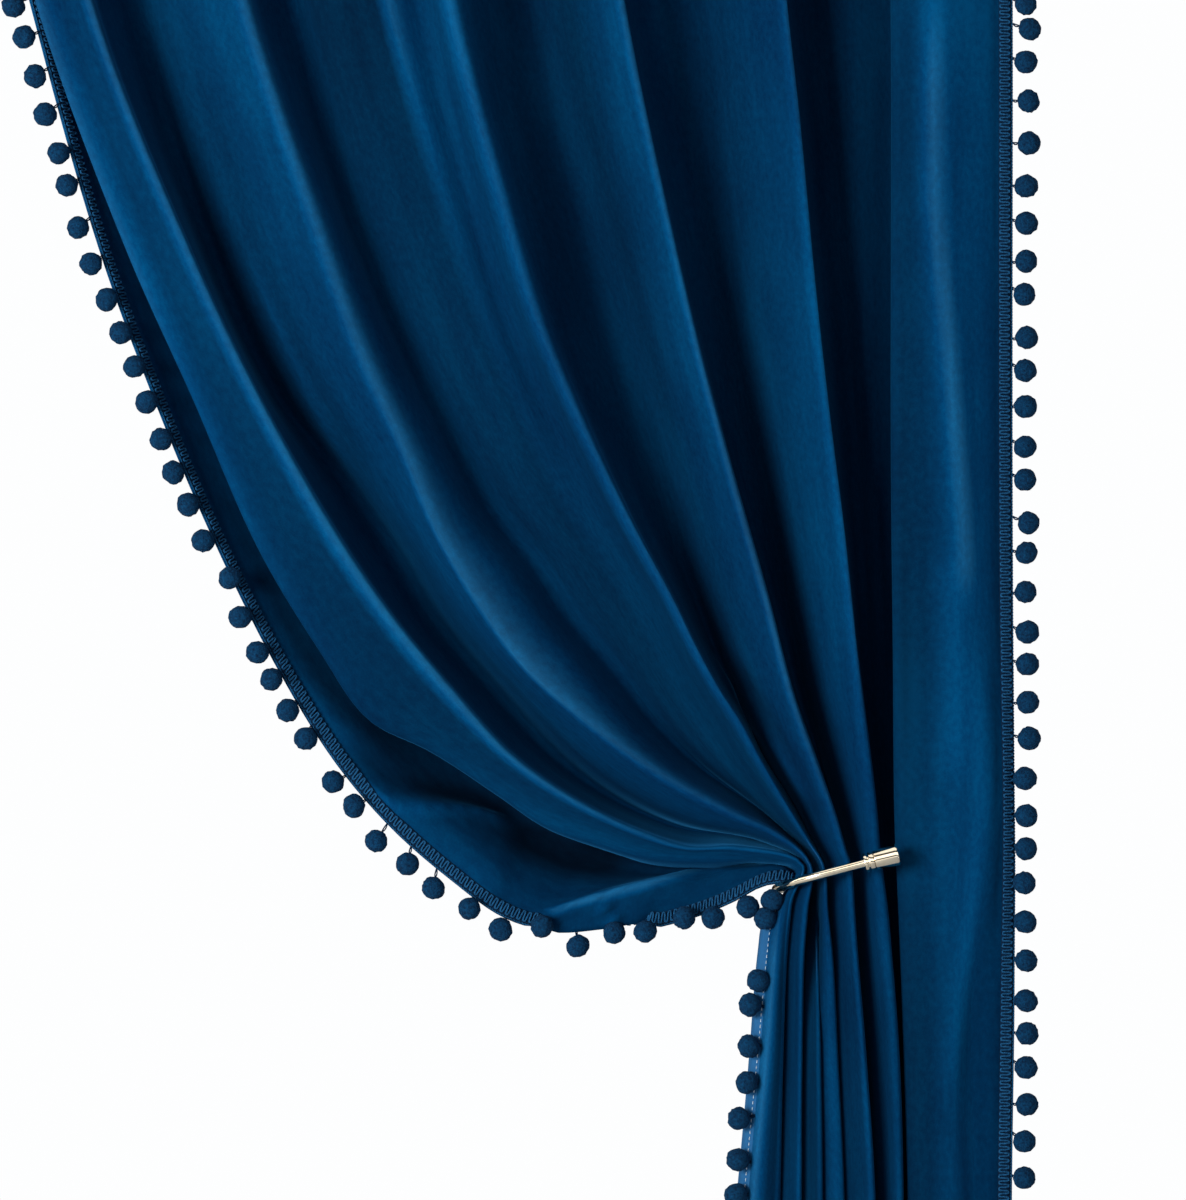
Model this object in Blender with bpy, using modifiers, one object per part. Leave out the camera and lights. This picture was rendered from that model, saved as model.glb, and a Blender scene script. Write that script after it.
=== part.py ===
# A velvet drape with pompom trim, gathered to one side by a metal holdback.
# Metres, +Z up. The origin is the middle of the panel's top edge, and the front faces -Y.
# The tables are in millimetres, and MM turns them into metres.

import math

import bmesh
import bpy
import numpy as np
from mathutils import Vector

MM = 0.001

# The cloth and its trim
cloth_thickness = 1.3 * MM
braid_width = 11.7 * MM
braid_thickness = 1.4 * MM
piece_gap = 0.3 * MM
seam_gap = 1.0 * MM
pompom_radius = 9.5 * MM
pompom_pitch = 30.0 * MM
pompom_reach = 12.5 * MM
thread_radius = 0.7 * MM
thread_root = 1.2 * MM
pompom_sides = 4

# Rings of a pompom's ball: angle from its thread, and share of its radius
BALL_RINGS = ((1.13, 0.90), (2.18, 0.82))

# The holdback
rod_radius = 3.6 * MM
bend_radius = 43.0 * MM
bend_centre_x = 294.0 * MM
plate_x = 330.0 * MM
stem_bend_radius = 15.0 * MM
wall_y = 100.0 * MM
plate_radius = 25.0 * MM
plate_thickness = 6.0 * MM
arm_end_x = 319.5 * MM
arm_end_z = -1273.0 * MM
arm_rise = 0.263
arm_drop = 0.116

# How finely the sheet is divided
rows_above = 25
rows_below = 9
dense_steps = 10

# Length of the straightest fold from the heading to the holdback, in millimetres
straight_drop = 1275.0

# Depth stations: 0 is the heading, 1 the holdback and 2 the bottom hem.
DEPTH_STATIONS = (0.0, 0.36, 0.68, 0.90, 1.0, 1.22, 2.0)

# Each fold line runs from the heading past the holdback to the hem. Its columns are:
# name, steps of mesh to the next line, depth (y) at the stations above,
# (x, z) points from heading to holdback, (x, z) points from holdback to hem.
FOLD_LINES = (
    ("leading edge", 1, (-6, -8, -10, -20, -8, -35, -30),
     ((-438, 0), (-410, -320), (-346, -584), (-290, -784), (-246, -904), (-195, -1024),
      (-142, -1129), (-100, -1196), (-57, -1246), (-10, -1287), (36, -1319), (82, -1330),
      (138, -1329), (186, -1318), (218, -1303), (238, -1288), (250, -1282), (261, -1286)),
     ((261, -1299), (255, -1313), (249, -1345), (240, -1424), (228.5, -1544), (208, -1750))),
    ("flap", 1, (-4, -6, -6, -28, 1, -14, -10),
     ((-427, 0), (-398, -320), (-335, -584), (-277, -788), (-232, -906), (-181, -1026),
      (-127, -1125), (-82, -1180), (-40, -1228), (5, -1262), (40, -1296), (70, -1310),
      (113, -1303), (150, -1294), (190, -1288), (234, -1279), (252, -1277), (263, -1283)),
     ((259, -1302), (251.5, -1316), (244.5, -1345), (235.5, -1424), (224.5, -1544), (203, -1765))),
    ("flap back", 2, (20, 22, 24, 20, 12, 10, 12),
     ((-388, 0), (-361, -320), (-298, -584), (-236, -784), (-184, -904), (-130, -1024),
      (-84, -1110), (-40, -1165), (0, -1195), (40, -1226), (80, -1254), (118, -1270),
      (155, -1281), (200, -1281), (236, -1276), (265, -1282)),
     ((259, -1304), (250, -1320), (242.5, -1345), (234, -1424), (223.5, -1544), (202, -1780))),
    ("first pleat, left", 1, (-28, -32, -34, -30, -18, -29, -28),
     ((-425, 0), (-398, -320), (-337, -584), (-269, -784), (-217, -904), (-166, -1024),
      (-117, -1104), (-75, -1159), (-26, -1183), (30, -1219), (66, -1243), (110, -1259),
      (150, -1270), (200, -1273), (236, -1272), (269, -1279)),
     ((266.5, -1303), (262, -1318), (253.5, -1345), (245, -1424), (233, -1544), (214, -1815))),
    ("first pleat, face", 1, (-38, -40, -42, -40, -23, -37, -36),
     ((-405, 0), (-376, -320), (-319, -584), (-245, -787), (-192, -904), (-138, -1015),
      (-90, -1090), (-43, -1149), (5, -1187), (64, -1226), (104, -1244), (154, -1262),
      (220, -1267), (270.5, -1278)),
     ((269, -1303), (265, -1318), (257.5, -1345), (250, -1424), (243, -1544), (225, -1830))),
    ("first pleat, right", 2, (-32, -36, -38, -38, -25, -33, -32),
     ((-385, 0), (-355, -320), (-300, -584), (-220, -790), (-167, -904), (-109, -1006),
      (-62, -1076), (-10, -1138), (36, -1188), (98, -1229), (158, -1256), (180, -1262),
      (220, -1262), (271.5, -1276)),
     ((270, -1303), (268, -1315), (262, -1345), (256, -1424), (253, -1544), (238, -1850))),
    ("second hollow", 3, (28, 30, 30, 26, 24, 28, 28),
     ((-345, 0), (-318, -320), (-266, -584), (-188, -824), (-148, -904), (-109, -953),
      (-57, -1024), (-25, -1079), (20, -1132), (82, -1197), (128, -1228), (174, -1247),
      (238, -1258), (276, -1276)),
     ((275, -1303), (272.5, -1318), (267.5, -1345), (264, -1424), (262, -1544), (249, -1880))),
    ("second fold", 2, (-28, -34, -36, -36, -29, -34, -34),
     ((-255, 0), (-231, -320), (-178, -584), (-115, -769), (-82, -861), (-44, -947),
      (-17, -1014), (20, -1076), (51, -1118), (98, -1159), (158, -1202), (220, -1236),
      (251, -1251), (281, -1275)),
     ((278, -1310), (274, -1345), (271.5, -1424), (270, -1544), (262, -1915))),
    ("third hollow", 2, (24, 28, 28, 26, 29, 28, 28),
     ((-215, 0), (-190, -320), (-138, -584), (-94, -744), (-62, -824), (-26, -901),
      (22, -990), (58, -1034), (82, -1072), (122, -1119), (158, -1165), (190, -1197),
      (250, -1242), (285, -1275)),
     ((281, -1310), (279, -1345), (278.5, -1424), (278, -1544), (273, -1945))),
    ("third fold", 1, (-12, -14, -4, -6, -31, -34, -30),
     ((-130, 0), (-108, -320), (-60, -584), (-24, -707), (14, -824), (54, -920),
      (94, -1000), (138, -1064), (182, -1136), (222, -1188), (266, -1240), (289.5, -1275)),
     ((287, -1310), (286, -1345), (286, -1424), (286, -1544), (284, -1975))),
    ("fourth hollow", 1, (6, 4, -2, 2, 30, 27, 27),
     ((-98, 0), (-78, -320), (-34, -584), (-4, -707), (32, -824), (73, -920),
      (113, -1000), (153, -1064), (193, -1128), (231, -1182), (273, -1240), (294, -1275)),
     ((292, -1310), (291.5, -1345), (292.5, -1424), (294, -1544), (294, -2000))),
    ("fourth fold", 2, (-32, -36, -38, -36, -31, -36, -34),
     ((-70, 0), (-50, -320), (-10, -584), (30, -738), (60, -839), (88, -907),
      (132, -999), (165, -1064), (190, -1105), (238, -1180), (279, -1239), (298.5, -1275)),
     ((297, -1310), (297.5, -1345), (300, -1424), (302, -1544), (305, -2025))),
    ("fifth hollow", 3, (30, 34, 34, 32, 30, 30, 30),
     ((-25, 0), (-6, -320), (34, -584), (58, -704), (92, -824), (124, -904),
      (160, -984), (194, -1056), (228, -1124), (264, -1190), (289, -1236), (304, -1275)),
     ((303.5, -1310), (305, -1345), (309, -1424), (312, -1544), (316, -2050))),
    ("fifth fold", 2, (-34, -38, -38, -36, -31, -38, -36),
     ((72, 0), (90, -320), (127, -584), (165, -766), (190, -873), (215, -966),
      (242, -1061), (266, -1141), (290, -1212), (303, -1246), (311, -1274)),
     ((313, -1310), (316, -1345), (321, -1424), (326, -1544), (328, -2080))),
    ("sixth hollow, left", 1, (30, 34, 36, 34, 30, 30, 30),
     ((106, 0), (121, -320), (154, -584), (182, -744), (203, -873), (223, -966),
      (249, -1061), (273, -1141), (298, -1212), (309, -1246), (318, -1274)),
     ((319.5, -1310), (322, -1345), (327, -1424), (331, -1544), (335, -2095))),
    ("sixth hollow, right", 2, (12, 14, 16, 18, 8, 6, 10),
     ((150, 0), (165, -320), (191, -584), (207, -736), (218, -824), (231, -904),
      (246, -984), (264, -1064), (285, -1144), (308, -1216), (325, -1274)),
     ((327, -1310), (330, -1345), (335, -1424), (339, -1544), (341, -2110))),
    ("sixth fold", 2, (-32, -36, -36, -33, -29, -35, -33),
     ((228, 0), (238, -320), (258, -584), (268, -676), (282, -824), (293, -922),
      (304, -1009), (316, -1113), (326, -1181), (332, -1218), (335, -1272)),
     ((337, -1310), (340, -1345), (346, -1424), (350, -1544), (351, -2122))),
    ("deep hollow, left", 1, (26, 30, 32, 32, 28, 24, 26),
     ((258, 0), (266, -320), (282, -584), (305, -824), (319, -984), (331, -1144),
      (342, -1272)),
     ((344, -1310), (346.5, -1345), (352, -1424), (355, -1544), (357, -2127))),
    ("deep hollow, middle", 1, (14, 18, 20, 22, 20, 18, 18),
     ((295, 0), (300, -320), (312, -584), (322, -824), (330, -984), (339, -1144),
      (348, -1272)),
     ((350, -1310), (353, -1345), (358, -1424), (361, -1544), (364, -2129))),
    ("deep hollow, right", 2, (30, 32, 34, 34, 32, 30, 30),
     ((352, 0), (354, -320), (356, -584), (356, -824), (357, -984), (358, -1144),
      (360, -1272)),
     ((362, -1310), (364, -1345), (368, -1424), (371, -1544), (374, -2130))),
    ("straight strip, left", 2, (-24, -27, -27, -25, -21, -22, -24),
     ((341, 0), (343, -320), (344, -584), (344, -824), (344, -1064), (347, -1254),
      (348, -1272)),
     ((349.5, -1310), (353, -1402), (357, -1544), (362, -2130))),
    ("straight strip, face", 1, (-34, -36, -34, -32, -28, -28, -30),
     ((376, 0), (378, -320), (380, -584), (384, -784), (392, -984), (393, -1100),
      (392, -1272)),
     ((391, -1310), (391, -1402), (391, -1544), (394, -2130))),
    ("straight strip, right", 1, (-24, -25, -24, -26, -28, -20, -22),
     ((412, 0), (414, -320), (417, -584), (418, -824), (420, -1064), (426, -1200),
      (420, -1272)),
     ((412, -1345), (407, -1402), (410, -1544), (414, -2130))),
    ("back edge", 1, (-6, -8, -6, -5, -2, -6, -6),
     ((438, 0), (438, -320), (439, -584), (439, -824), (439, -1064), (440, -1200),
      (441, -1272)),
     ((441, -1345), (441, -1402), (439, -1544), (439, -2130))),
)

# Pompoms that the holdback would squeeze are left off: stations along the leading edge
squeezed_stations = (0.972, 1.05)
nothing_squeezed = (9.0, 9.0)

# Colours are linear values read by eye
VELVET_BLUE = (0.006, 0.055, 0.16, 1.0)
BRAID_BLUE = (0.008, 0.065, 0.18, 1.0)
GOLD = (0.92, 0.72, 0.38, 1.0)


def clear_scene():
    for thing in list(bpy.data.objects):
        bpy.data.objects.remove(thing, do_unlink=True)


def make_collection(name):
    collection = bpy.data.collections.new(name)
    bpy.context.scene.collection.children.link(collection)
    return collection


def make_material(name, colour, roughness, metallic):
    material = bpy.data.materials.new(name)
    material.use_nodes = True
    shader = material.node_tree.nodes["Principled BSDF"]
    shader.inputs["Base Color"].default_value = colour
    shader.inputs["Roughness"].default_value = roughness
    shader.inputs["Metallic"].default_value = metallic
    material.diffuse_color = colour
    return material


def add_object(name, mesh, material, collection):
    thing = bpy.data.objects.new(name, mesh)
    mesh.materials.clear()
    mesh.materials.append(material)
    collection.objects.link(thing)
    return thing


def smooth_points(points, steps):
    """Points on a smooth curve, with steps between each pair.

    The slope at a point is the mean direction of its two neighbours' chords, so a sharp
    fold turns without swinging past its own tip.
    """
    knots = np.asarray(points, dtype=float)
    chords = np.diff(knots, axis=0)
    spans = np.linalg.norm(chords, axis=1)
    headings = chords / spans[:, None]
    slopes = np.vstack([headings[:1], (headings[:-1] + headings[1:]) / 2, headings[-1:]])
    curve = []
    for i, span in enumerate(spans):
        for step in range(steps):
            t = step / steps
            curve.append(knots[i] * (2 * t ** 3 - 3 * t ** 2 + 1)
                         + knots[i + 1] * (3 * t ** 2 - 2 * t ** 3)
                         + slopes[i] * span * (t ** 3 - 2 * t ** 2 + t)
                         + slopes[i + 1] * span * (t ** 3 - t ** 2))
    curve.append(knots[-1])
    return np.array(curve)


def lengths_along(points):
    steps = np.linalg.norm(np.diff(points, axis=0), axis=1)
    return np.concatenate([[0.0], np.cumsum(steps)])


def at_lengths(points, wanted):
    along = lengths_along(points)
    return np.stack([np.interp(wanted, along, points[:, k]) for k in range(points.shape[1])], axis=1)


def depth_at(depths, station):
    """Ease from one depth to the next, level at each station."""
    i = min(int(np.searchsorted(DEPTH_STATIONS, station, side="right")) - 1, len(depths) - 2)
    part = (station - DEPTH_STATIONS[i]) / (DEPTH_STATIONS[i + 1] - DEPTH_STATIONS[i])
    part = min(max(part, 0.0), 1.0)
    part = part * part * (3 - 2 * part)
    return depths[i] + (depths[i + 1] - depths[i]) * part


def row_stations():
    """Stations of the mesh rows, closer together towards the holdback."""
    above = [1 - (1 - k / rows_above) ** 1.35 for k in range(rows_above)]
    below = [1 + (k / rows_below) ** 1.5 for k in range(rows_below + 1)]
    return np.array(above + below)


def line_at_stations(line, stations):
    """Points (x, y, z) in metres on one fold line."""
    name, steps, depths, above, below = line
    curve = smooth_points(above + below, dense_steps)
    along = lengths_along(curve)
    waist = along[(len(above) - 1) * dense_steps]
    spans = []
    for station in stations:
        if station < 1:
            spans.append(station * (straight_drop + (waist - straight_drop) * station ** 4))
        else:
            spans.append(waist + (station - 1) * (along[-1] - waist))
    flat = at_lengths(curve, spans)
    y = [depth_at(depths, station) for station in stations]
    return np.stack([flat[:, 0], y, flat[:, 1]], axis=1) * MM


def sheet_sections(stations):
    """One dense curve across the cloth for each row of the mesh."""
    lines = np.array([line_at_stations(line, stations) for line in FOLD_LINES])
    return [smooth_points(lines[:, row], dense_steps) for row in range(len(stations))]


def cloth_columns(section):
    """Points across the cloth in one row, from inside one braid to inside the other."""
    along = lengths_along(section)
    marks = [along[i * dense_steps] for i in range(len(FOLD_LINES))]
    first = braid_width + seam_gap
    last = along[-1] - braid_width - seam_gap
    wanted = list(np.linspace(first, marks[2], 3, endpoint=False))
    for i in range(2, len(FOLD_LINES) - 2):
        steps = FOLD_LINES[i][1]
        wanted += list(np.linspace(marks[i], marks[i + 1], steps, endpoint=False))
    wanted += list(np.linspace(marks[-2], last, 2))
    return at_lengths(section, wanted)


def strip_columns(section, from_start):
    along = lengths_along(section)
    if from_start:
        return at_lengths(section, [0.0, braid_width])
    return at_lengths(section, [along[-1] - braid_width, along[-1]])


def grid_mesh(name, rows):
    """A sheet of quads; rows run from the heading down, and each runs from left to right."""
    mesh = bpy.data.meshes.new(name)
    count = len(rows[0])
    points = [tuple(point) for row in rows for point in row]
    faces = []
    for i in range(len(rows) - 1):
        for j in range(count - 1):
            corner = i * count + j
            faces.append((corner, corner + count, corner + count + 1, corner + 1))
    mesh.from_pydata(points, [], faces)
    mesh.validate()
    return mesh


def thicken(thing, thickness):
    solid = thing.modifiers.new("thickness", "SOLIDIFY")
    solid.thickness = thickness
    solid.offset = 0.0
    solid.use_quality_normals = True
    return solid


def pompom_mesh(roots):
    """Balls on short threads. Each root is (point, direction) on the braid's outer edge."""
    shape = bmesh.new()
    for point, direction in roots:
        outward = Vector(direction).normalized()
        side = outward.orthogonal().normalized()
        other = outward.cross(side)
        centre = Vector(point) + outward * pompom_reach
        stations = [(Vector(point) - outward * thread_root, thread_radius)]
        stations.append((centre - outward * pompom_radius * 0.97, thread_radius))
        for angle, share in BALL_RINGS:
            stations.append((centre - outward * pompom_radius * math.cos(angle), pompom_radius * share))
        rings = []
        for middle, radius in stations:
            ring = []
            for k in range(pompom_sides):
                turn = 2 * math.pi * k / pompom_sides
                offset = side * math.cos(turn) + other * math.sin(turn)
                ring.append(shape.verts.new(middle + offset * radius))
            rings.append(ring)
        tip = shape.verts.new(centre + outward * pompom_radius)
        shape.faces.new(reversed(rings[0]))
        for low, high in zip(rings, rings[1:]):
            for k in range(pompom_sides):
                after = (k + 1) % pompom_sides
                shape.faces.new((low[k], low[after], high[after], high[k]))
        for k in range(pompom_sides):
            shape.faces.new((rings[-1][k], rings[-1][(k + 1) % pompom_sides], tip))
    bmesh.ops.recalc_face_normals(shape, faces=shape.faces)
    mesh = bpy.data.meshes.new("pompoms")
    shape.to_mesh(mesh)
    shape.free()
    return mesh


def pompom_roots(edge, stations, away, skip):
    """Places along an edge where a pompom's thread leaves the braid, with its direction."""
    along = lengths_along(edge)
    count = int(along[-1] / pompom_pitch)
    roots = []
    for k in range(count):
        distance = (k + 0.5) * pompom_pitch
        station = float(np.interp(distance, along, stations))
        if skip[0] < station < skip[1]:
            continue
        here, ahead = at_lengths(edge, [distance, distance + 5 * MM])
        run = Vector(ahead - here)
        run.y = 0.0
        run.normalize()
        outward = Vector((-run.z, 0.0, run.x)) * away
        direction = outward + Vector((0.0, -0.25, -0.35))
        roots.append((here, direction))
    return roots


def make_trim(name, sections, stations, from_start, material, parts, cutters):
    rows = [strip_columns(section, from_start) for section in sections]
    strip = add_object(name, grid_mesh(name, rows), material, parts)
    thicken(strip, braid_thickness)
    edge = np.array([row[0] if from_start else row[-1] for row in rows])
    away = -1.0 if from_start else 1.0
    skip = squeezed_stations if from_start else nothing_squeezed
    roots = pompom_roots(edge, stations, away, skip)
    cutter = add_object(name + "_pompoms", pompom_mesh(roots), material, cutters)
    cutter.hide_render = True
    cutter.display_type = "WIRE"
    union = strip.modifiers.new("pompoms", "BOOLEAN")
    union.operation = "UNION"
    union.solver = "EXACT"
    union.use_self = True
    union.object = cutter
    return strip


def arm_height(x, y):
    """Height of the arm's axis: it rises to the right, and its back lies a little lower."""
    depth = min(max(y + bend_radius, 0.0), 2 * bend_radius)
    return arm_end_z + arm_rise * (x - arm_end_x) - arm_drop * depth


def arm_route():
    """The arm's axis, from the wall plate round the cloth to the collar."""
    plan = [(plate_x, wall_y - plate_thickness - piece_gap)]
    corner = (plate_x - stem_bend_radius, bend_radius + stem_bend_radius)
    for k in range(6):
        turn = math.radians(90 * k / 5)
        plan.append((corner[0] + stem_bend_radius * math.cos(turn),
                     corner[1] - stem_bend_radius * math.sin(turn)))
    for k in range(19):
        turn = math.radians(90 + 180 * k / 18)
        plan.append((bend_centre_x + bend_radius * math.cos(turn), bend_radius * math.sin(turn)))
    plan.append((arm_end_x, -bend_radius))
    plate_z = arm_height(corner[0], bend_radius)
    return [(x, y, arm_height(x, y) if y <= bend_radius + 0.5 * MM else plate_z) for x, y in plan]


def make_arm(material, parts):
    route = arm_route()
    curve = bpy.data.curves.new("holdback_arm", "CURVE")
    curve.dimensions = "3D"
    spline = curve.splines.new("POLY")
    spline.points.add(len(route) - 1)
    for place, point in zip(spline.points, route):
        place.co = (*point, 1.0)
    curve.bevel_depth = rod_radius
    curve.bevel_resolution = 2
    curve.use_fill_caps = True
    curve.materials.append(material)
    arm = bpy.data.objects.new("holdback_arm", curve)
    parts.objects.link(arm)
    return route


def turned_piece(name, profile, origin, axis, material, parts, steps=20):
    """A profile of (radius, height) pairs, from its top down, turned about its own Z."""
    mesh = bpy.data.meshes.new(name)
    points = [(radius, 0.0, height) for radius, height in profile]
    edges = [(i, i + 1) for i in range(len(points) - 1)]
    mesh.from_pydata(points, edges, [])
    thing = add_object(name, mesh, material, parts)
    screw = thing.modifiers.new("turn", "SCREW")
    screw.steps = steps
    screw.render_steps = steps
    screw.use_merge_vertices = True
    screw.merge_threshold = 0.00005
    thing.rotation_mode = "QUATERNION"
    thing.rotation_quaternion = Vector((0, 0, 1)).rotation_difference(Vector(axis))
    thing.location = origin
    return thing


def make_holdback(material, parts):
    route = make_arm(material, parts)
    plate_profile = ((0.0, plate_thickness), (rod_radius * 1.6, plate_thickness),
                     (plate_radius - 3 * MM, plate_thickness - 1.5 * MM),
                     (plate_radius, plate_thickness - 4 * MM), (plate_radius, 0.0), (0.0, 0.0))
    turned_piece("holdback_plate", plate_profile, (plate_x, wall_y, route[0][2]), (0, -1, 0),
                 material, parts, 28)
    axis = Vector((1.0, 0.0, arm_rise)).normalized()
    end = Vector(route[-1])
    flange = 7.6 * MM
    collar_profile = ((0.0, 8.0 * MM), (flange - 0.6 * MM, 8.0 * MM), (flange, 7.2 * MM),
                      (flange, 4.6 * MM), (flange - 0.6 * MM, 4.0 * MM), (5.6 * MM, 3.8 * MM),
                      (5.6 * MM, 2.8 * MM), (flange - 0.4 * MM, 2.6 * MM), (flange, 2.0 * MM),
                      (flange, 0.6 * MM), (flange - 0.6 * MM, 0.0), (0.0, 0.0))
    turned_piece("holdback_collar", collar_profile, end + axis * piece_gap, axis, material, parts)
    cap_start = end + axis * (8.0 * MM + 2 * piece_gap)
    finial_profile = ((0.0, 20.5 * MM), (5.0 * MM, 20.2 * MM), (7.8 * MM, 19.4 * MM),
                      (8.6 * MM, 18.4 * MM), (8.2 * MM, 9.0 * MM), (7.7 * MM, 0.6 * MM),
                      (7.2 * MM, 0.0), (0.0, 0.0))
    turned_piece("holdback_finial", finial_profile, cap_start, axis, material, parts)


def main():
    clear_scene()
    parts = make_collection("drape_with_holdback")
    cutters = make_collection("joined_shapes")
    velvet = make_material("velvet", VELVET_BLUE, 0.85, 0.0)
    braid_one = make_material("leading_trim_yarn", BRAID_BLUE, 0.9, 0.0)
    braid_two = make_material("back_trim_yarn", BRAID_BLUE, 0.9, 0.0)
    gold = make_material("gold", GOLD, 0.22, 1.0)
    stations = row_stations()
    sections = sheet_sections(stations)
    panel = add_object("drape_panel", grid_mesh("drape_panel", [cloth_columns(s) for s in sections]),
                       velvet, parts)
    thicken(panel, cloth_thickness)
    make_trim("trim_leading", sections, stations, True, braid_one, parts, cutters)
    make_trim("trim_back", sections, stations, False, braid_two, parts, cutters)
    make_holdback(gold, parts)


main()
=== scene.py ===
import math

import bmesh
import bpy
import numpy as np
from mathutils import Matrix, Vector, noise


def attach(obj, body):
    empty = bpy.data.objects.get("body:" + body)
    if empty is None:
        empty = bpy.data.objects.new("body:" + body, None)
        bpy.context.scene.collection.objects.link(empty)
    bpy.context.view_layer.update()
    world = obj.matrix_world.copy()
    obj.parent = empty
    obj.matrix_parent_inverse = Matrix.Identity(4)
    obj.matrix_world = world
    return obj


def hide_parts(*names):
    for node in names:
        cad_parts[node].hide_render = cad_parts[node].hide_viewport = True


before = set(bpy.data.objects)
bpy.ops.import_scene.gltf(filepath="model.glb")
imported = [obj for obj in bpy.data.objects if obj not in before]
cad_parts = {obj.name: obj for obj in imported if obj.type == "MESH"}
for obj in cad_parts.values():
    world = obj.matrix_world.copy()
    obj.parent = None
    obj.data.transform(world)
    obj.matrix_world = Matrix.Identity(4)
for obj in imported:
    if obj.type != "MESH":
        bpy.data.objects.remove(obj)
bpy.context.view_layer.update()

mm = 0.001
print("frame loaded:", ", ".join(sorted(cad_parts)))


# Camera, straight on, at the height of the picture's middle
cameraSetup = {
    "aimX": 0.104,
    "aimZ": -1.064,
    "distance": 4.0,
    "planeY": -0.014,         # the plane whose width fills the picture
    "widthSeen": 0.9488,
    "sensor": 36.0,
}


def newObject(name, data):
    thing = bpy.data.objects.new(name, data)
    bpy.context.scene.collection.objects.link(thing)
    return thing


def deselectAll():
    for thing in bpy.context.selected_objects:
        thing.select_set(False)


def addCamera():
    setup = cameraSetup
    lens = bpy.data.cameras.new("frontCamera")
    lens.sensor_fit = "HORIZONTAL"
    lens.sensor_width = setup["sensor"]
    lens.lens = setup["sensor"] * setup["distance"] / setup["widthSeen"]
    lens.clip_end = 100
    camera = newObject("frontCamera", lens)
    camera.location = (setup["aimX"], setup["planeY"] - setup["distance"], setup["aimZ"])
    camera.rotation_euler = (math.radians(90), 0, 0)
    bpy.context.scene.camera = camera


addCamera()
print("camera placed")


# Materials
class NodeKit:
    # makes and links the nodes of one material or of the world

    def __init__(self, tree):
        self.nodes = tree.nodes
        self.links = tree.links

    def fill(self, node, inputs):
        # an input takes a plain value or another node's output
        for name, value in inputs.items():
            if isinstance(value, bpy.types.NodeSocket):
                self.links.new(value, node.inputs[name])
            else:
                node.inputs[name].default_value = value

    def add(self, kind, inputs=None, **settings):
        node = self.nodes.new("ShaderNode" + kind)
        for name, value in settings.items():
            setattr(node, name, value)
        self.fill(node, inputs or {})
        return node

    def noise(self, vector, scale, detail=3.0, roughness=0.5, stretch=(1, 1, 1)):
        mapping = self.add("Mapping", {"Scale": stretch, "Vector": vector})
        texture = self.add("TexNoise", {"Scale": scale, "Detail": detail, "Roughness": roughness,
                                        "Vector": mapping.outputs["Vector"]})
        return texture.outputs["Fac"]

    def math(self, kind, *values):
        return self.add("Math", dict(enumerate(values)), operation=kind).outputs["Value"]

    def vectorMath(self, kind, inputs):
        return self.add("VectorMath", inputs, operation=kind).outputs["Vector"]

    def ramp(self, factor, *stops):
        ramp = self.add("ValToRGB", {"Fac": factor})
        marks = ramp.color_ramp.elements
        marks[0].position, marks[0].color = stops[0]
        marks[1].position, marks[1].color = stops[-1]
        for place, colour in stops[1:-1]:
            marks.new(place).color = colour
        return ramp.outputs["Color"]

    def bump(self, height, strength, distance):
        bump = self.add("Bump", {"Strength": strength, "Distance": distance, "Height": height})
        return bump.outputs["Normal"]


def newMaterial(name):
    material = bpy.data.materials.new(name)
    material.use_nodes = True
    return material, NodeKit(material.node_tree), material.node_tree.nodes["Principled BSDF"]


velvetLook = {
    "deep": (0.0, 0.024, 0.084, 1),
    "middle": (0.0, 0.042, 0.128, 1),
    "brushed": (0.0, 0.066, 0.182, 1),
    "paintedHaze": (0.009, 0.026, 0.012, 1),    # painted highlight: a whitish haze where the painted tone is high
    "paintedHazeFrom": 0.65,
    "sheenTint": (0.03, 0.28, 0.66, 1),
    "sheen": 0.4,
    "sheenRoughness": 0.32,
    # each pattern's scale, detail, roughness and stretch, and its share in the colour
    "smudges": (7.0, 5, 0.6, (1.0, 0.4, 1), 0.46),
    "streaks": (55, 3, 0.55, (1.0, 0.10, 1), 0.22),
    "grain": (260.0, 2, 0.6, (1.0, 0.6, 1), 0.22),
    "pile": (1100.0, 1, 0.5, (1, 1, 1), 0.10),
}


def makeVelvet():
    look = velvetLook
    material, kit, shader = newMaterial("velvetPile")
    place = kit.add("UVMap").outputs["UV"]
    blend = 0.0
    patterns = {}
    for name in ("smudges", "streaks", "grain", "pile"):
        *pattern, share = look[name]
        patterns[name] = kit.noise(place, *pattern)
        blend = kit.math("ADD", blend, kit.math("MULTIPLY", patterns[name], share))
    colour = kit.ramp(blend, (0.38, look["deep"]), (0.5, look["middle"]), (0.62, look["brushed"]))
    # painted light and shade: an attribute that lightens the colour on ridges as a painted highlight and
    # darkens it in hollows and creases as painted shade
    paintedLight = kit.add("Attribute", attribute_name="paintedLightTone").outputs["Fac"]
    shaded = kit.vectorMath("SCALE", {"Vector": colour, "Scale": paintedLight})
    # painted highlight: a whitish haze added to the brightest painted ridges
    paintedHaze = kit.ramp(kit.math("MULTIPLY", paintedLight, 0.5), (look["paintedHazeFrom"], (0, 0, 0, 1)), (1.0, look["paintedHaze"]))
    kit.fill(shader, {
        "Base Color": kit.vectorMath("ADD", {0: shaded, 1: paintedHaze}),
        "Roughness": kit.math("MULTIPLY_ADD", patterns["streaks"], 0.1, 0.82),
        "Specular IOR Level": 0.03,
        "Sheen Weight": look["sheen"],
        "Sheen Roughness": look["sheenRoughness"],
        "Sheen Tint": look["sheenTint"],
        "Normal": kit.bump(patterns["pile"], 0.25, 0.0004),
    })
    return material


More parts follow.
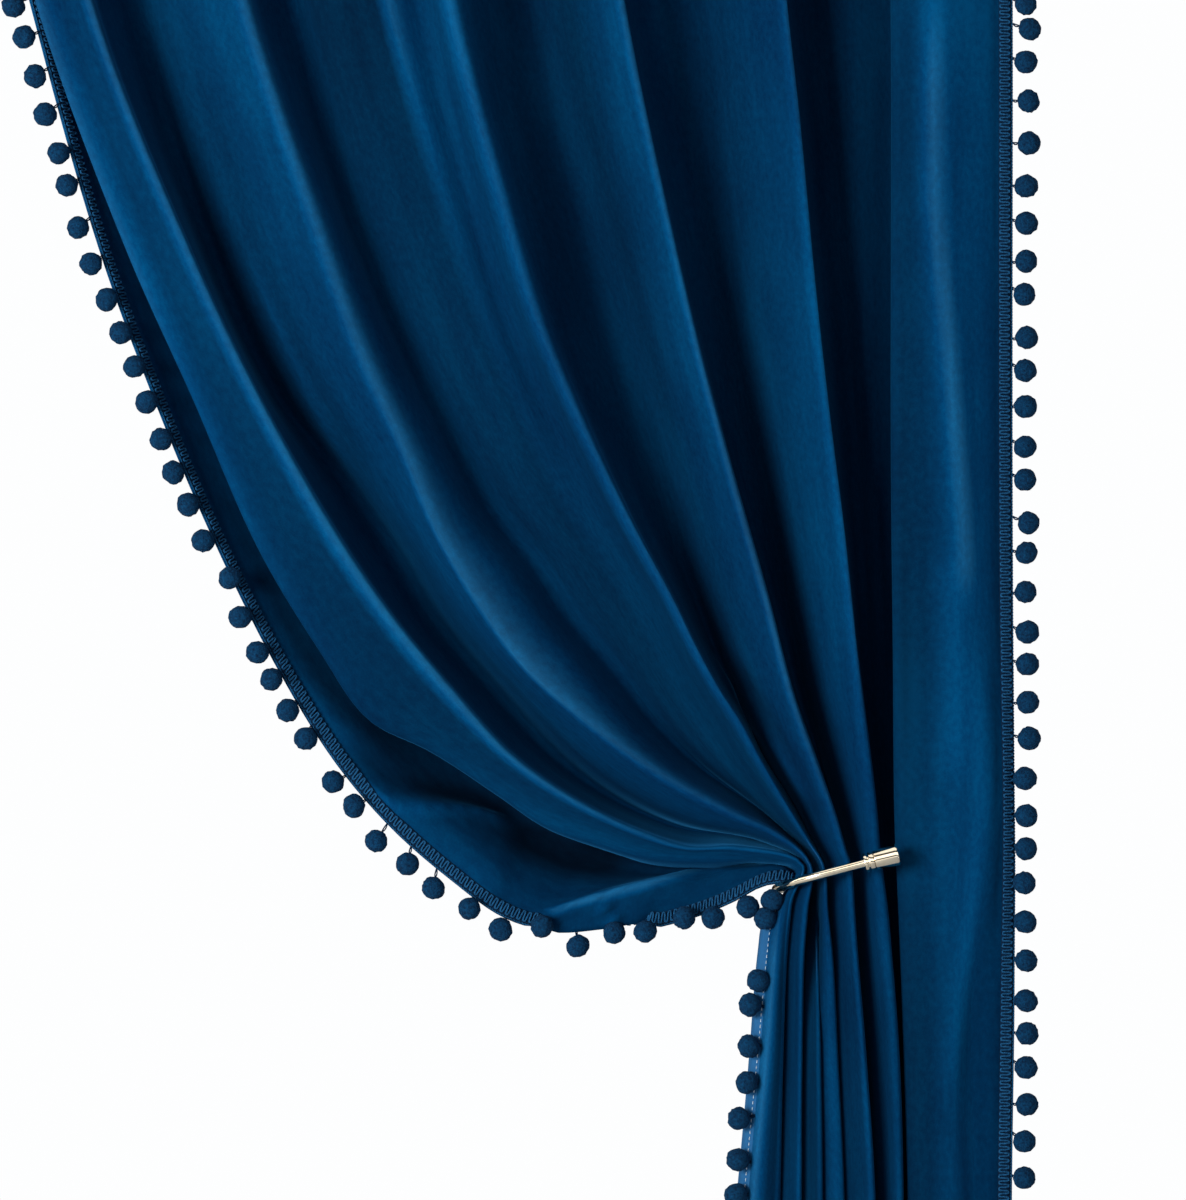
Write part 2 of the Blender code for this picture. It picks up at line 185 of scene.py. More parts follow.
def makeBacking():
    material, kit, shader = newMaterial("velvetBacking")
    place = kit.add("UVMap").outputs["UV"]
    tone = kit.noise(place, 40, 3, 0.5, (1, 0.3, 1))
    weave = kit.noise(place, 900, 1, 0.5, (1, 0.35, 1))
    kit.fill(shader, {
        "Base Color": kit.ramp(tone, (0.3, (0.011, 0.100, 0.26, 1)), (0.7, (0.018, 0.140, 0.35, 1))),
        "Roughness": 0.75,
        "Specular IOR Level": 0.2,
        "Normal": kit.bump(weave, 0.4, 0.0003),
    })
    return material


def makeYarn(name, dark, light, sheen):
    material, kit, shader = newMaterial(name)
    fibres = kit.noise(kit.add("TexCoord").outputs["Object"], 430, 3, 0.75)
    kit.fill(shader, {
        "Base Color": kit.ramp(fibres, (0.3, dark), (0.7, light)),
        "Roughness": 0.95,
        "Specular IOR Level": 0.15,
        "Sheen Weight": sheen,
        "Sheen Roughness": 0.5,
        "Sheen Tint": (0.12, 0.4, 0.75, 1),
        "Normal": kit.bump(fibres, 1.0, 0.0016),
    })
    return material


def makeGold():
    material, kit, shader = newMaterial("polishedGold")
    wear = kit.noise(kit.add("TexCoord").outputs["Object"], 90, 4, 0.6)
    kit.fill(shader, {
        "Base Color": kit.ramp(wear, (0.3, (0.84, 0.73, 0.54, 1)), (0.7, (0.95, 0.88, 0.73, 1))),
        "Metallic": 1.0,
        "Roughness": kit.math("MULTIPLY_ADD", wear, 0.06, 0.03),
    })
    return material


def makeThread():
    material, kit, shader = newMaterial("paleThread")
    twist = kit.noise(kit.add("TexCoord").outputs["Object"], 1500, 1, 0.5)
    colour = kit.ramp(twist, (0.3, (0.45, 0.62, 0.78, 1)), (0.7, (0.75, 0.86, 0.95, 1)))
    kit.fill(shader, {"Base Color": colour, "Roughness": 0.7})
    return material


velvetPile = makeVelvet()
velvetBacking = makeBacking()
braidYarn = makeYarn("braidYarn", (0.004, 0.055, 0.150, 1), (0.020, 0.150, 0.350, 1), 0.08)
# the base ribbon's yarn is near black: its own darker yarn, and painted shade in the gaps between and
# beside the cords; the pompoms' threads use the same dark yarn
darkYarnAndShade = makeYarn("darkYarnAndShade", (0.0006, 0.011, 0.036, 1), (0.0018, 0.024, 0.070, 1), 0.0)
pompomYarn = makeYarn("pompomYarn", (0.0003, 0.010, 0.036, 1), (0.002, 0.060, 0.160, 1), 0.0)
polishedGold = makeGold()
paleThread = makeThread()
print("materials made")


# The cloth's design: fold lines, in millimetres, within some 15 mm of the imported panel's.
# Depth stations: 0 is the heading, 1 the holdback and 2 the bottom hem.
depthStations = np.array((0.0, 0.36, 0.68, 0.90, 1.0, 1.22, 2.0))
straightDrop = 1275.0         # length of the straightest fold from heading to holdback

# name, depth (y) at the stations, (x, z) from heading to holdback, (x, z) on to the hem
foldLines = (
    ("leadingEdge", (-20, -24, -26, -26, -10, -31, -29),
     ((-438, 0), (-410, -320), (-346, -584), (-290, -784), (-246, -904), (-195, -1024),
      (-142, -1129), (-100, -1196), (-57, -1246), (-10, -1287), (36, -1319), (82, -1330),
      (138, -1329), (186, -1318), (218, -1305), (238, -1294), (251, -1291), (262, -1292)),
     ((257, -1300), (251, -1316), (246.6, -1345), (239.6, -1424), (228, -1544), (206, -1750))),
    ("flap", (-9, -9, -7, -20, -2, -25, -23),
     ((-427, 0), (-398, -320), (-335, -584), (-277, -788), (-232, -906), (-181, -1026),
      (-127, -1125), (-82, -1180), (-40, -1228), (5, -1262), (40, -1296), (70, -1310),
      (113, -1303), (150, -1294), (190, -1288), (234, -1279), (252, -1277), (263, -1283)),
     ((255.5, -1302), (243.5, -1318), (238.4, -1345), (231.6, -1424), (221.5, -1544), (199.5, -1765))),
    ("flapBack", (20, 22, 24, 20, 10, -6, -4),
     ((-388, 0), (-361, -320), (-298, -584), (-236, -784), (-184, -904), (-130, -1024),
      (-84, -1110), (-40, -1165), (0, -1195), (40, -1226), (80, -1254), (118, -1270),
      (155, -1281), (200, -1281), (236, -1276), (265, -1282)),
     ((255.5, -1305), (241.5, -1321), (237, -1345), (230.2, -1424), (220.3, -1544), (198.3, -1780))),
    ("firstPleatLeft", (-28, -32, -34, -30, -18, -37, -35),
     ((-425, 0), (-400, -320), (-341, -584), (-267, -784), (-213, -904), (-161, -1024),
      (-113, -1104), (-74, -1159), (-26, -1183), (30, -1219), (66, -1243), (110, -1259),
      (150, -1270), (200, -1273), (236, -1272), (269, -1279)),
     ((258, -1303), (253.2, -1318), (249.4, -1345), (242.6, -1424), (231, -1544), (212, -1815))),
    ("firstPleatFace", (-31, -33, -35, -37, -23, -37, -36),
     ((-405, 0), (-376, -320), (-319, -584), (-245, -787), (-192, -904), (-138, -1015),
      (-90, -1090), (-43, -1149), (5, -1187), (64, -1226), (104, -1244), (154, -1262),
      (220, -1267), (270.5, -1278)),
     ((260, -1303), (257, -1318), (254, -1345), (249.5, -1424), (242, -1544), (225, -1830))),
    ("firstPleatRight", (-40, -43, -45, -43, -25, -33, -32),
     ((-383, 0), (-352, -320), (-297, -584), (-216, -790), (-162, -904), (-105, -1006),
      (-58, -1076), (-7, -1138), (38, -1188), (98, -1229), (158, -1256), (180, -1262),
      (220, -1262), (271.5, -1276)),
     ((262, -1303), (260, -1315), (257.5, -1345), (254.6, -1424), (251.5, -1544), (238, -1850))),
    ("secondHollow", (28, 30, 30, 26, 24, 28, 28),
     ((-345, 0), (-318, -320), (-266, -584), (-188, -824), (-148, -904), (-109, -953),
      (-57, -1024), (-25, -1079), (20, -1132), (82, -1197), (128, -1228), (174, -1247),
      (238, -1258), (273.5, -1276)),
     ((263.3, -1303), (261.3, -1318), (258.8, -1345), (255.9, -1424), (252.8, -1544), (239.4, -1860))),
    ("secondFold", (-28, -34, -36, -36, -29, -34, -34),
     ((-252, 0), (-228, -320), (-174, -584), (-114, -769), (-82, -861), (-44, -947),
      (-17, -1014), (20, -1076), (51, -1118), (98, -1159), (158, -1202), (220, -1236),
      (251, -1251), (277, -1275)),
     ((274, -1310), (271, -1345), (269.6, -1424), (268.5, -1544), (261, -1915))),
    ("thirdHollow", (24, 28, 28, 26, 29, 28, 28),
     ((-215, 0), (-190, -320), (-138, -584), (-94, -744), (-62, -824), (-26, -901),
      (22, -990), (58, -1034), (82, -1072), (122, -1119), (158, -1165), (190, -1197),
      (250, -1242), (279.5, -1275)),
     ((275.3, -1310), (272.3, -1345), (270.9, -1424), (269.8, -1544), (262.4, -1920))),
    ("thirdFold", (-12, -14, -4, 8, -4, -34, -30),
     ((-130, 0), (-108, -320), (-60, -584), (-24, -707), (14, -824), (54, -920),
      (94, -1000), (135, -1064), (172, -1136), (206, -1188), (250, -1240), (282, -1275)),
     ((283, -1310), (283.5, -1345), (284, -1424), (285.5, -1544), (285, -1975))),
    ("fourthHollow", (6, 4, -2, -9, -22, 27, 27),
     ((-98, 0), (-78, -320), (-34, -584), (-4, -707), (32, -824), (73, -920),
      (113, -1000), (150, -1064), (183, -1128), (216, -1182), (257, -1240), (284.5, -1275)),
     ((284.3, -1310), (284.8, -1345), (285.3, -1424), (286.8, -1544), (286.4, -1980))),
    ("fourthFold", (-32, -36, -38, -36, -31, -36, -34),
     ((-70, 0), (-50, -320), (-10, -584), (30, -738), (60, -839), (88, -907),
      (132, -999), (167, -1064), (187, -1105), (204, -1136), (221, -1162), (237, -1192),
      (255, -1223), (276, -1257), (287, -1275)),
     ((290, -1310), (293.5, -1345), (297.5, -1424), (303, -1544), (307, -2025))),
    ("fifthHollow", (30, 34, 34, 32, 30, 30, 30),
     ((-3, 0), (17, -320), (58, -584), (84, -704), (116, -824), (140, -904),
      (162, -984), (185, -1056), (203, -1104), (224, -1150), (243, -1192), (264, -1225),
      (281, -1257), (290, -1275)),
     ((291.3, -1310), (294.8, -1345), (298.8, -1424), (304.3, -1544), (308.4, -2030))),
    ("fifthFold", (-34, -38, -38, -36, -31, -38, -36),
     ((72, 0), (90, -320), (127, -584), (165, -766), (190, -873), (215, -966),
      (242, -1061), (263, -1141), (283, -1198), (296, -1235), (304, -1263), (308, -1275)),
     ((311, -1310), (313.5, -1345), (319.5, -1424), (327, -1544), (332, -2080))),
    ("sixthHollowLeft", (30, 34, 36, 34, 30, 30, 30),
     ((106, 0), (121, -320), (154, -584), (182, -744), (203, -873), (223, -966),
      (249, -1061), (270, -1141), (287, -1192), (299, -1235), (307, -1263), (310.5, -1275)),
     ((312.6, -1310), (315.1, -1345), (321.1, -1424), (328.6, -1544), (333.6, -2085))),
    ("sixthHollowRight", (26, 28, 30, 24, 4, -14, -12),
     ((150, 0), (165, -320), (191, -584), (207, -736), (218, -824), (231, -904),
      (246, -984), (262, -1064), (278, -1144), (292, -1192), (304, -1235), (314, -1275)),
     ((316, -1310), (319, -1345), (325.5, -1424), (332, -1544), (337, -2100))),
    ("sixthFold", (-32, -36, -36, -33, -27, -25, -24),
     ((228, 0), (238, -320), (258, -584), (268, -676), (282, -824), (293, -922),
      (304, -1009), (315, -1113), (323, -1181), (328, -1225), (332, -1272)),
     ((337, -1310), (340, -1345), (346, -1424), (350, -1544), (351, -2122))),
    ("deepHollowLeft", (26, 30, 32, 32, 28, 24, 26),
     ((258, 0), (266, -320), (282, -584), (305, -824), (319, -984), (328, -1144),
      (338, -1272)),
     ((342, -1310), (345, -1345), (350.5, -1424), (354, -1544), (356, -2127))),
    ("deepHollowMiddle", (20, 24, 27, 27, 24, 20, 20),
     ((295, 0), (300, -320), (312, -584), (322, -824), (330, -984), (339, -1144),
      (348, -1272)),
     ((350, -1310), (353, -1345), (358, -1424), (361, -1544), (364, -2129))),
    ("deepHollowRight", (30, 32, 34, 34, 32, 30, 30),
     ((352, 0), (354, -320), (356, -584), (356, -824), (357, -984), (358, -1144),
      (360, -1272)),
     ((362, -1310), (364, -1345), (368, -1424), (371, -1544), (374, -2130))),
    ("straightStripLeft", (-24, -27, -27, -25, -21, -22, -24),
     ((341, 0), (343, -320), (344, -584), (344, -824), (344, -1064), (347, -1254),
      (348, -1272)),
     ((349.5, -1310), (353, -1402), (357, -1544), (362, -2130))),
    ("straightStripFace", (-34, -36, -34, -32, -28, -28, -30),
     ((376, 0), (378, -320), (380, -584), (384, -784), (392, -984), (393, -1100),
      (392, -1272)),
     ((391, -1310), (391, -1402), (391, -1544), (394, -2130))),
    ("straightStripRight", (-24, -25, -24, -26, -28, -20, -22),
     ((412, 0), (414, -320), (417, -584), (418, -824), (420, -1064), (426, -1200),
      (420, -1272)),
     ((412, -1345), (407, -1402), (410, -1544), (414, -2130))),
    ("backEdge", (-18, -19, -18, -18, -18, -14, -14),
     ((438, 0), (438, -320), (439, -584), (439, -824), (439, -1064), (440, -1200),
      (441, -1272)),
     ((441, -1345), (441, -1402), (439, -1544), (439, -2130))),
)

clothMesh = {
    "flat": (1.32, 2.13),
    "thickness": 1.3 * mm,
    # from which line, spacing of the columns: finest where the swag's small folds are
    "columnSpacing": ((0, 2.5 * mm), (4, 4.4 * mm), (9, 6.3 * mm)),
    "denseSteps": 12,
    # station from, station to, rows
    "rowBands": ((0.0, 0.42, 20), (0.42, 0.9, 90), (0.9, 1.0, 34), (1.0, 1.12, 20),
                 (1.12, 1.4, 21), (1.4, 2.0, 22)),
    "unevenness": 1.6 * mm,
    "ripples": (9.0, 3.2),       # how many to the metre, across and down
    "calm": (0.8, 0.06),         # how much flatter the ripples are at the holdback, and how near
    "flatToHoldback": 1.275,
    # the darkest painted shade in hollows and creases
    "darkestPaintedTone": 0.12,
}

# Lines that shape the cloth between two of the fold lines: after which line, share of the way
# across, share of the depth, both at the shaping stations, and the kind of painted highlight or painted
# shade there
shapingStations = (0.47, 0.62, 0.86, 1.0, 1.14)
shapingLines = (
    ("leadingEdge", (0.5, 0.5, 0.45, 0.5, 0.5), (0.5, 0.5, 0.5, 0.5, 0.5), "turned"),
    ("firstPleatFace", (0.60, 0.60, 0.62, 0.6, 0.6), (0.45, 0.45, 0.45, 0.4, 0.5), "face"),
    ("firstPleatRight", (0.14, 0.14, 0.12, 0.3, 0.3), (0.30, 0.30, 0.35, 0.4, 0.4), "return"),
    ("secondHollow", (0.24, 0.26, 0.38, 0.2, 0.08), (0.42, 0.42, 0.48, 0.7, 0.86), "shoulder"),
    ("secondHollow", (0.88, 0.88, 0.88, 0.75, 0.80), (0.96, 0.96, 0.96, 0.93, 0.97), "crest"),
    ("secondFold", (0.25, 0.45, 0.52, 0.3, 0.3), (0.35, 0.32, 0.28, 0.4, 0.4), "roundReturn"),
    ("thirdHollow", (0.22, 0.26, 0.30, 0.2, 0.08), (0.60, 0.58, 0.50, 0.5, 0.86), "lowShoulder"),
    ("thirdHollow", (0.86, 0.84, 0.80, 0.75, 0.80), (0.95, 0.95, 0.90, 0.88, 0.97), "lowShoulder"),
    ("fourthHollow", (0.55, 0.55, 0.5, 0.5, 0.08), (0.50, 0.50, 0.55, 0.5, 0.86), "softFace"),
    ("fourthFold", (0.24, 0.24, 0.04, 0.3, 0.3), (0.32, 0.32, 0.38, 0.4, 0.4), "return"),
    ("fifthHollow", (0.40, 0.40, 0.34, 0.2, 0.08), (0.42, 0.42, 0.54, 0.7, 0.86), "wideShoulder"),
    ("fifthHollow", (0.90, 0.90, 0.88, 0.75, 0.80), (0.97, 0.97, 0.96, 0.93, 0.97), "crest"),
    ("fifthFold", (-0.08, -0.08, -0.06, 0.3, 0.3), (0.34, 0.34, 0.34, 0.4, 0.4), "return"),
    ("sixthHollowRight", (0.26, 0.26, 0.26, 0.3, 0.3), (0.38, 0.38, 0.42, 0.5, 0.5), "lateShoulder"),
    ("sixthHollowRight", (0.86, 0.86, 0.84, 0.6, 0.7), (0.94, 0.94, 0.93, 0.85, 0.92), "crest"),
    ("sixthFold", (-0.10, -0.10, -0.08, 0.3, 0.2), (0.34, 0.34, 0.34, 0.4, 0.4), "return"),
    ("straightStripLeft", (0.5, 0.5, 0.5, 0.5, 0.5), (0.62, 0.62, 0.62, 0.6, 0.6), "face"),
)

# Painted light and shade, at the same stations: above 1 the colour is lightened as a painted
# highlight, below 1 it is darkened as painted shade
paintedLightKinds = {
    "turned": (1.60, 1.50, 0.80, 0.7, 0.5),
    "turnedBack": (0.60, 0.50, 0.32, 0.6, 0.5),
    "outerRidge": (1.80, 1.60, 0.60, 1.1, 1.9),
    "face": (0.80, 0.74, 0.53, 0.75, 0.55),
    "ridge": (1.90, 1.85, 2.10, 1.4, 1.35),
    "lowRidge": (1.60, 1.50, 1.55, 1.2, 1.25),
    "return": (0.90, 0.85, 0.85, 0.9, 0.6),
    "roundReturn": (0.95, 1.00, 1.30, 0.9, 0.6),
    "hollow": (1.00, 0.90, 0.80, 0.8, 0.9),
    "wideHollow": (0.50, 0.58, 0.70, 0.8, 0.9),
    "shoulder": (0.60, 0.60, 0.52, 0.55, 0.42),
    "lateShoulder": (0.62, 0.55, 0.55, 0.6, 0.42),
    "lowShoulder": (0.40, 0.54, 0.45, 0.45, 0.42),
    "wideShoulder": (0.42, 0.46, 0.50, 0.55, 0.42),
    "crest": (0.92, 0.86, 0.88, 0.8, 0.62),
    "softRidge": (1.70, 0.85, 0.52, 0.55, 1.0),
    "softFace": (0.80, 0.76, 0.55, 0.5, 0.42),
    "deepHollow": (0.55, 0.60, 0.60, 0.6, 0.5),
    "stripTurn": (1.15, 1.15, 1.02, 1.0, 0.9),
}

# The painted light and shade along each fold line, from the leading edge to the back edge
foldPaintedLight = ("turned", "turned", "turnedBack", "outerRidge", "face", "ridge", "hollow", "ridge",
            "hollow", "softRidge", "softFace", "lowRidge", "wideHollow", "ridge", "hollow", "shoulder",
            "lowRidge", "deepHollow", "deepHollow", "deepHollow", "shoulder", "stripTurn",
            "stripTurn", "stripTurn")

# Small folds and creases: between which of allLines' lines, the path in pixels of the picture,
# half width and height towards the front in millimetres, and how much painted highlight (above 0) or
# painted shade (below 0) they add to the colour
smallFolds = (
    ((0.6, 3.4), ((350, 772), (374, 794), (403, 809), (468, 812), (520, 826)), 5, 7, 0.50),
    ((0.6, 3.4), ((350, 745), (400, 782), (460, 793), (530, 815)), 8, -5, -0.20),
    ((0.6, 3.4), ((380, 806), (425, 850), (470, 876), (512, 884)), 20, 3, 0.16),
    ((0.6, 3.4), ((500, 830), (570, 862), (640, 866), (740, 856)), 13, -6, -0.20),
    ((0.3, 3.4), ((534, 918), (566, 908), (602, 897), (650, 885), (700, 872), (748, 866)),
     3.6, 5, 0.20),
    ((0.3, 3.4), ((534, 919), (566, 909), (602, 898), (650, 886), (700, 873), (748, 867)),
     2.0, 0.5, 1.30),
    ((1.6, 3.8), ((96, 120), (118, 200), (160, 350), (222, 500), (303, 650), (345, 710), (420, 752)),
     10, -1, -0.35),
    ((1.2, 3.6), ((345, 715), (410, 770), (491, 818), (571, 853), (640, 870)), 16, -2, -0.28),
    ((0.0, 3.4), ((602, 895), (611, 908), (624, 922)), 3, -4, -0.25),
    ((0.0, 3.4), ((594, 898), (603, 910), (614, 924)), 2.4, 3, 0.80),
    ((4.0, 5.6), ((352, 700), (385, 732), (430, 764), (480, 790)), 4, -4, -0.25),
    ((9.5, 12.0), ((243, 230), (287, 350), (362, 500), (462, 650), (560, 752)), 4, 2, 0.22),
    ((9.5, 12.0), ((200, 60), (252, 230), (300, 350), (384, 500)), 9, -1.5, -0.08),
    ((14.0, 17.0), ((440, 260), (520, 470), (600, 640), (690, 770)), 8, 1.5, 0.05),
    ((21.5, 25.0), ((690, 640), (740, 700), (785, 762), (815, 810)), 4, 2, 0.20),
    ((21.5, 25.0), ((730, 650), (770, 720), (800, 775), (822, 830)), 5, -2.5, -0.12),
    # painted highlight along the straight strip
    ((35.0, 42.0), ((932, -60), (932, 200), (947, 350), (961, 500), (968, 620)), 8, 2.5, 0.85),
    ((35.0, 42.0), ((950, 540), (957, 650), (957, 800)), 15, 1.5, 0.22),
    ((35.0, 42.0), ((905, -60), (905, 400), (903, 800)), 5, -1.5, -0.12),
    # painted shadow: a dark line along the braid's inner edge
    ((38.0, 42.0), ((995, -900), (996, 300), (996, 700), (997, 2000)), 4.5, -1.5, -0.45),
    ((35.0, 42.0), ((975, 640), (985, 800), (965, 960), (945, 1120)), 7, 2.0, 0.2),
)

# Along this stretch of the swag the edge turns under, so that the cloth rolls over the braid
turnedUnder = {
    "fromX": 531,              # pixels of the picture
    "toX": 655,
    "blend": 14 * mm,
    "edgeShift": (0, 12, 13),  # millimetres
    "rollShift": (0, -5, -9),
}

pictureScale = 0.8               # millimetres to a pixel of the picture
pictureCorner = (-370.4, -584.0)
farAway = 9.0                    # metres, past every piece


def pictureX(px):
    return (pictureScale * px + pictureCorner[0]) * mm


def pictureZ(py):
    return (pictureCorner[1] - pictureScale * py) * mm


def eased(share):
    return share * share * (3 - 2 * share)


def turnedUnderShare(x, stations):
    setup = turnedUnder
    rise = np.clip((x - pictureX(setup["fromX"])) / setup["blend"], 0, 1)
    fall = np.clip((pictureX(setup["toX"]) - x) / setup["blend"], 0, 1)
    return eased(np.minimum(rise, fall) * (stations < 1))


def smoothThrough(points, steps):
    knots = np.asarray(points, dtype=float)
    chords = np.diff(knots, axis=0)
    spans = np.linalg.norm(chords, axis=-1, keepdims=True)
    headings = chords / spans
    slopes = np.concatenate([headings[:1], (headings[:-1] + headings[1:]) / 2, headings[-1:]])
    curve = []
    for i in range(len(chords)):
        for t in np.arange(steps) / steps:
            curve.append(knots[i] * (2 * t ** 3 - 3 * t ** 2 + 1)
                         + knots[i + 1] * (3 * t ** 2 - 2 * t ** 3)
                         + slopes[i] * spans[i] * (t ** 3 - 2 * t ** 2 + t)
                         + slopes[i + 1] * spans[i] * (t ** 3 - t ** 2))
    curve.append(knots[-1])
    return np.array(curve)


def lengthsAlong(points):
    steps = np.linalg.norm(np.diff(points, axis=0), axis=1)
    return np.concatenate([[0.0], np.cumsum(steps)])


def pointsAt(points, along, wanted):
    return np.stack([np.interp(wanted, along, points[:, k]) for k in range(points.shape[1])], axis=1)


def depthAt(depths, stations):
    values = np.array(depths, dtype=float)
    i = np.clip(np.searchsorted(depthStations, stations, side="right") - 1, 0, len(values) - 2)
    part = np.clip((stations - depthStations[i]) / (depthStations[i + 1] - depthStations[i]), 0, 1)
    return values[i] + (values[i + 1] - values[i]) * eased(part)


def foldLineAt(line, stations):
    depths, above, below = line[1:]
    dense = clothMesh["denseSteps"]
    curve = smoothThrough(above + below, dense)
    along = lengthsAlong(curve)
    waist = along[(len(above) - 1) * dense]
    upper = stations * (straightDrop + (waist - straightDrop) * stations ** 4)
    lower = waist + (stations - 1) * (along[-1] - waist)
    places = pointsAt(curve, along, np.where(stations < 1, upper, lower))
    return np.stack([places[:, 0], depthAt(depths, stations), places[:, 1]], axis=1) * mm


def clothStations():
    stations = []
    for low, high, rows in clothMesh["rowBands"]:
        stations += list(np.linspace(low, high, rows, endpoint=False))
    return np.array(stations + [2.0])


def allLines(stations):
    # the table's lines and the shaping lines between them, from the leading to the back edge,
    # and the painted light and shade along each
    lines = [foldLineAt(line, stations) for line in foldLines]
    found, paintedLights = [], []
    for i, line in enumerate(foldLines):
        found.append(lines[i])
        paintedLights.append(foldPaintedLight[i])
        for after, acrossShares, depthShares, paintedLight in shapingLines:
            if after != line[0]:
                continue
            across = np.interp(stations, shapingStations, acrossShares)[:, None]
            deep = np.interp(stations, shapingStations, depthShares)[:, None]
            way = lines[i + 1] - lines[i]
            share = np.concatenate([across, deep, across], axis=1)
            found.append(lines[i] + way * share)
            paintedLights.append(paintedLight)
    under = turnedUnderShare(found[0][:, 0], stations)[:, None] * mm
    found[0] = found[0] + under * turnedUnder["edgeShift"]
    found[1] = found[1] + under * turnedUnder["rollShift"]
    paintedTones = [np.interp(stations, shapingStations, paintedLightKinds[paintedLight]) for paintedLight in paintedLights]
    return np.array(found), np.array(paintedTones)


def clothColumns(lines):
    # each column's place among the lines: 0 is the leading edge
    spans = np.linalg.norm(np.diff(lines, axis=0), axis=2)[:, :len(lines[0]) * 2 // 3].mean(axis=1)
    columns = []
    for i, span in enumerate(spans):
        spacing = [wide for fromLine, wide in clothMesh["columnSpacing"] if fromLine <= i][-1]
        count = max(3, int(round(span / spacing)))
        columns += list(i + np.arange(count) / count)
    return np.array(columns + [len(lines) - 1.0])


def gridNormals(places):
    down = np.gradient(places, axis=0)
    across = np.gradient(places, axis=1)
    normals = np.cross(down, across)
    return normals / np.maximum(np.linalg.norm(normals, axis=2, keepdims=True), 1e-12)


smallFoldFade = {"columns": 0.3, "ends": 0.16}


def smallFoldShares(places, columns, between, path):
    # the distance to the path, and how much of the fold is there: it fades at its ends
    flat = places[:, :, [0, 2]]
    nearest = np.full(places.shape[:2], farAway)
    along = np.zeros(places.shape[:2])
    ends = np.array([(pictureX(px), pictureZ(py)) for px, py in path])
    for k, (start, end) in enumerate(zip(ends, ends[1:])):
        run = end - start
        part = np.clip(((flat - start) @ run) / (run @ run), 0, 1)
        away = np.linalg.norm(flat - (start + part[..., None] * run), axis=2)
        closer = away < nearest
        nearest = np.where(closer, away, nearest)
        along = np.where(closer, (k + part) / (len(ends) - 1), along)
    blend = smallFoldFade["columns"]
    inside = np.clip((columns - between[0]) / blend, 0, 1) * np.clip((between[1] - columns) / blend, 0, 1)
    fade = np.clip(np.minimum(along, 1 - along) / smallFoldFade["ends"], 0, 1)
    return nearest, eased(fade) * inside[None, :]


def clothGrid():
    setup = clothMesh
    stations = clothStations()
    lines, linePaintedTones = allLines(stations)
    columns = clothColumns(lines)
    lineNumbers = np.arange(len(lines))
    sections = smoothThrough(lines, setup["denseSteps"])
    smooth = np.zeros((len(stations), len(columns), 3))
    for row in range(len(stations)):
        along = lengthsAlong(sections[:, row])
        wanted = np.interp(columns, lineNumbers, along[::setup["denseSteps"]])
        smooth[row] = pointsAt(sections[:, row], along, wanted)
        if row == 0:
            flatX = wanted / wanted[-1] * setup["flat"][0]
    flatZ = np.interp(stations, (0, 1, 2), (0, setup["flatToHoldback"], setup["flat"][1]))
    normals = gridNormals(smooth)
    across, down = setup["ripples"]
    heights = np.array([[noise.noise(Vector((u * across, v * down, 3.7))) for u in flatX] for v in flatZ])
    flatter, near = setup["calm"]
    calm = 1 - flatter * np.exp(-((stations - 1.0) / near) ** 2)
    places = smooth + normals * (setup["unevenness"] * heights * calm[:, None])[:, :, None]
    # painted tones: painted highlight on ridges, painted shade in hollows; the small folds add more,
    # never darker than the darkest painted shade
    paintedTones = np.array([np.interp(columns, lineNumbers, linePaintedTones[:, row]) for row in range(len(stations))])
    for between, path, halfWidth, height, brushed in smallFolds:
        away, fade = smallFoldShares(smooth, columns, between, path)
        bump = np.exp(-(away / (halfWidth * mm)) ** 2) * fade
        places = places + normals * (height * mm * bump)[:, :, None]
        paintedTones = np.maximum(paintedTones + brushed * bump, setup["darkestPaintedTone"])
    return places, gridNormals(places), flatX, flatZ, paintedTones


def layerFaces(rows, count):
    # two layers of quads and the rim between them, with slot 1 for the second layer
    layer = rows * count
    faces, slots = [], []
    for i in range(rows - 1):
        for j in range(count - 1):
            a = i * count + j
            faces.append((a, a + count, a + count + 1, a + 1))
            faces.append((layer + a, layer + a + 1, layer + a + count + 1, layer + a + count))
            slots += [0, 1]
    border = list(range(count)) + [i * count + count - 1 for i in range(1, rows)]
    border += [(rows - 1) * count + j for j in range(count - 2, -1, -1)]
    border += [i * count for i in range(rows - 2, 0, -1)]
    for a, b in zip(border, border[1:] + border[:1]):
        faces.append((a, b, layer + b, layer + a))
        slots.append(0)
    return faces, slots


def newMesh(name, points, faces, slots):
    mesh = bpy.data.meshes.new(name)
    mesh.from_pydata(np.concatenate(points).tolist(), [], faces)
    mesh.polygons.foreach_set("material_index", slots)
    mesh.polygons.foreach_set("use_smooth", [True] * len(faces))
    return mesh


def closedClothMesh(name, front, back, flatX, flatZ, paintedTones):
    # flat measures are the UV map, and the painted light and shade is an attribute
    rows, count = front.shape[:2]
    mesh = newMesh(name, [front.reshape(-1, 3), back.reshape(-1, 3)], *layerFaces(rows, count))
    loops = np.zeros(len(mesh.loops), dtype=np.int32)
    mesh.loops.foreach_get("vertex_index", loops)
    loops = loops % (rows * count)
    uv = np.stack([flatX[loops % count], flatZ[loops // count]], axis=1)
    mesh.uv_layers.new(name="flatCloth").data.foreach_set("uv", uv.ravel())
    # the painted light and shade, on both layers of the cloth
    pile = mesh.attributes.new("paintedLightTone", "FLOAT", "POINT")
    pile.data.foreach_set("value", np.tile(paintedTones.ravel(), 2))
    mesh.update()
    return mesh


def addPiece(name, mesh, materials):
    piece = newObject(name, mesh)
    for material in materials:
        mesh.materials.append(material)
    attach(piece, "root")
    return piece


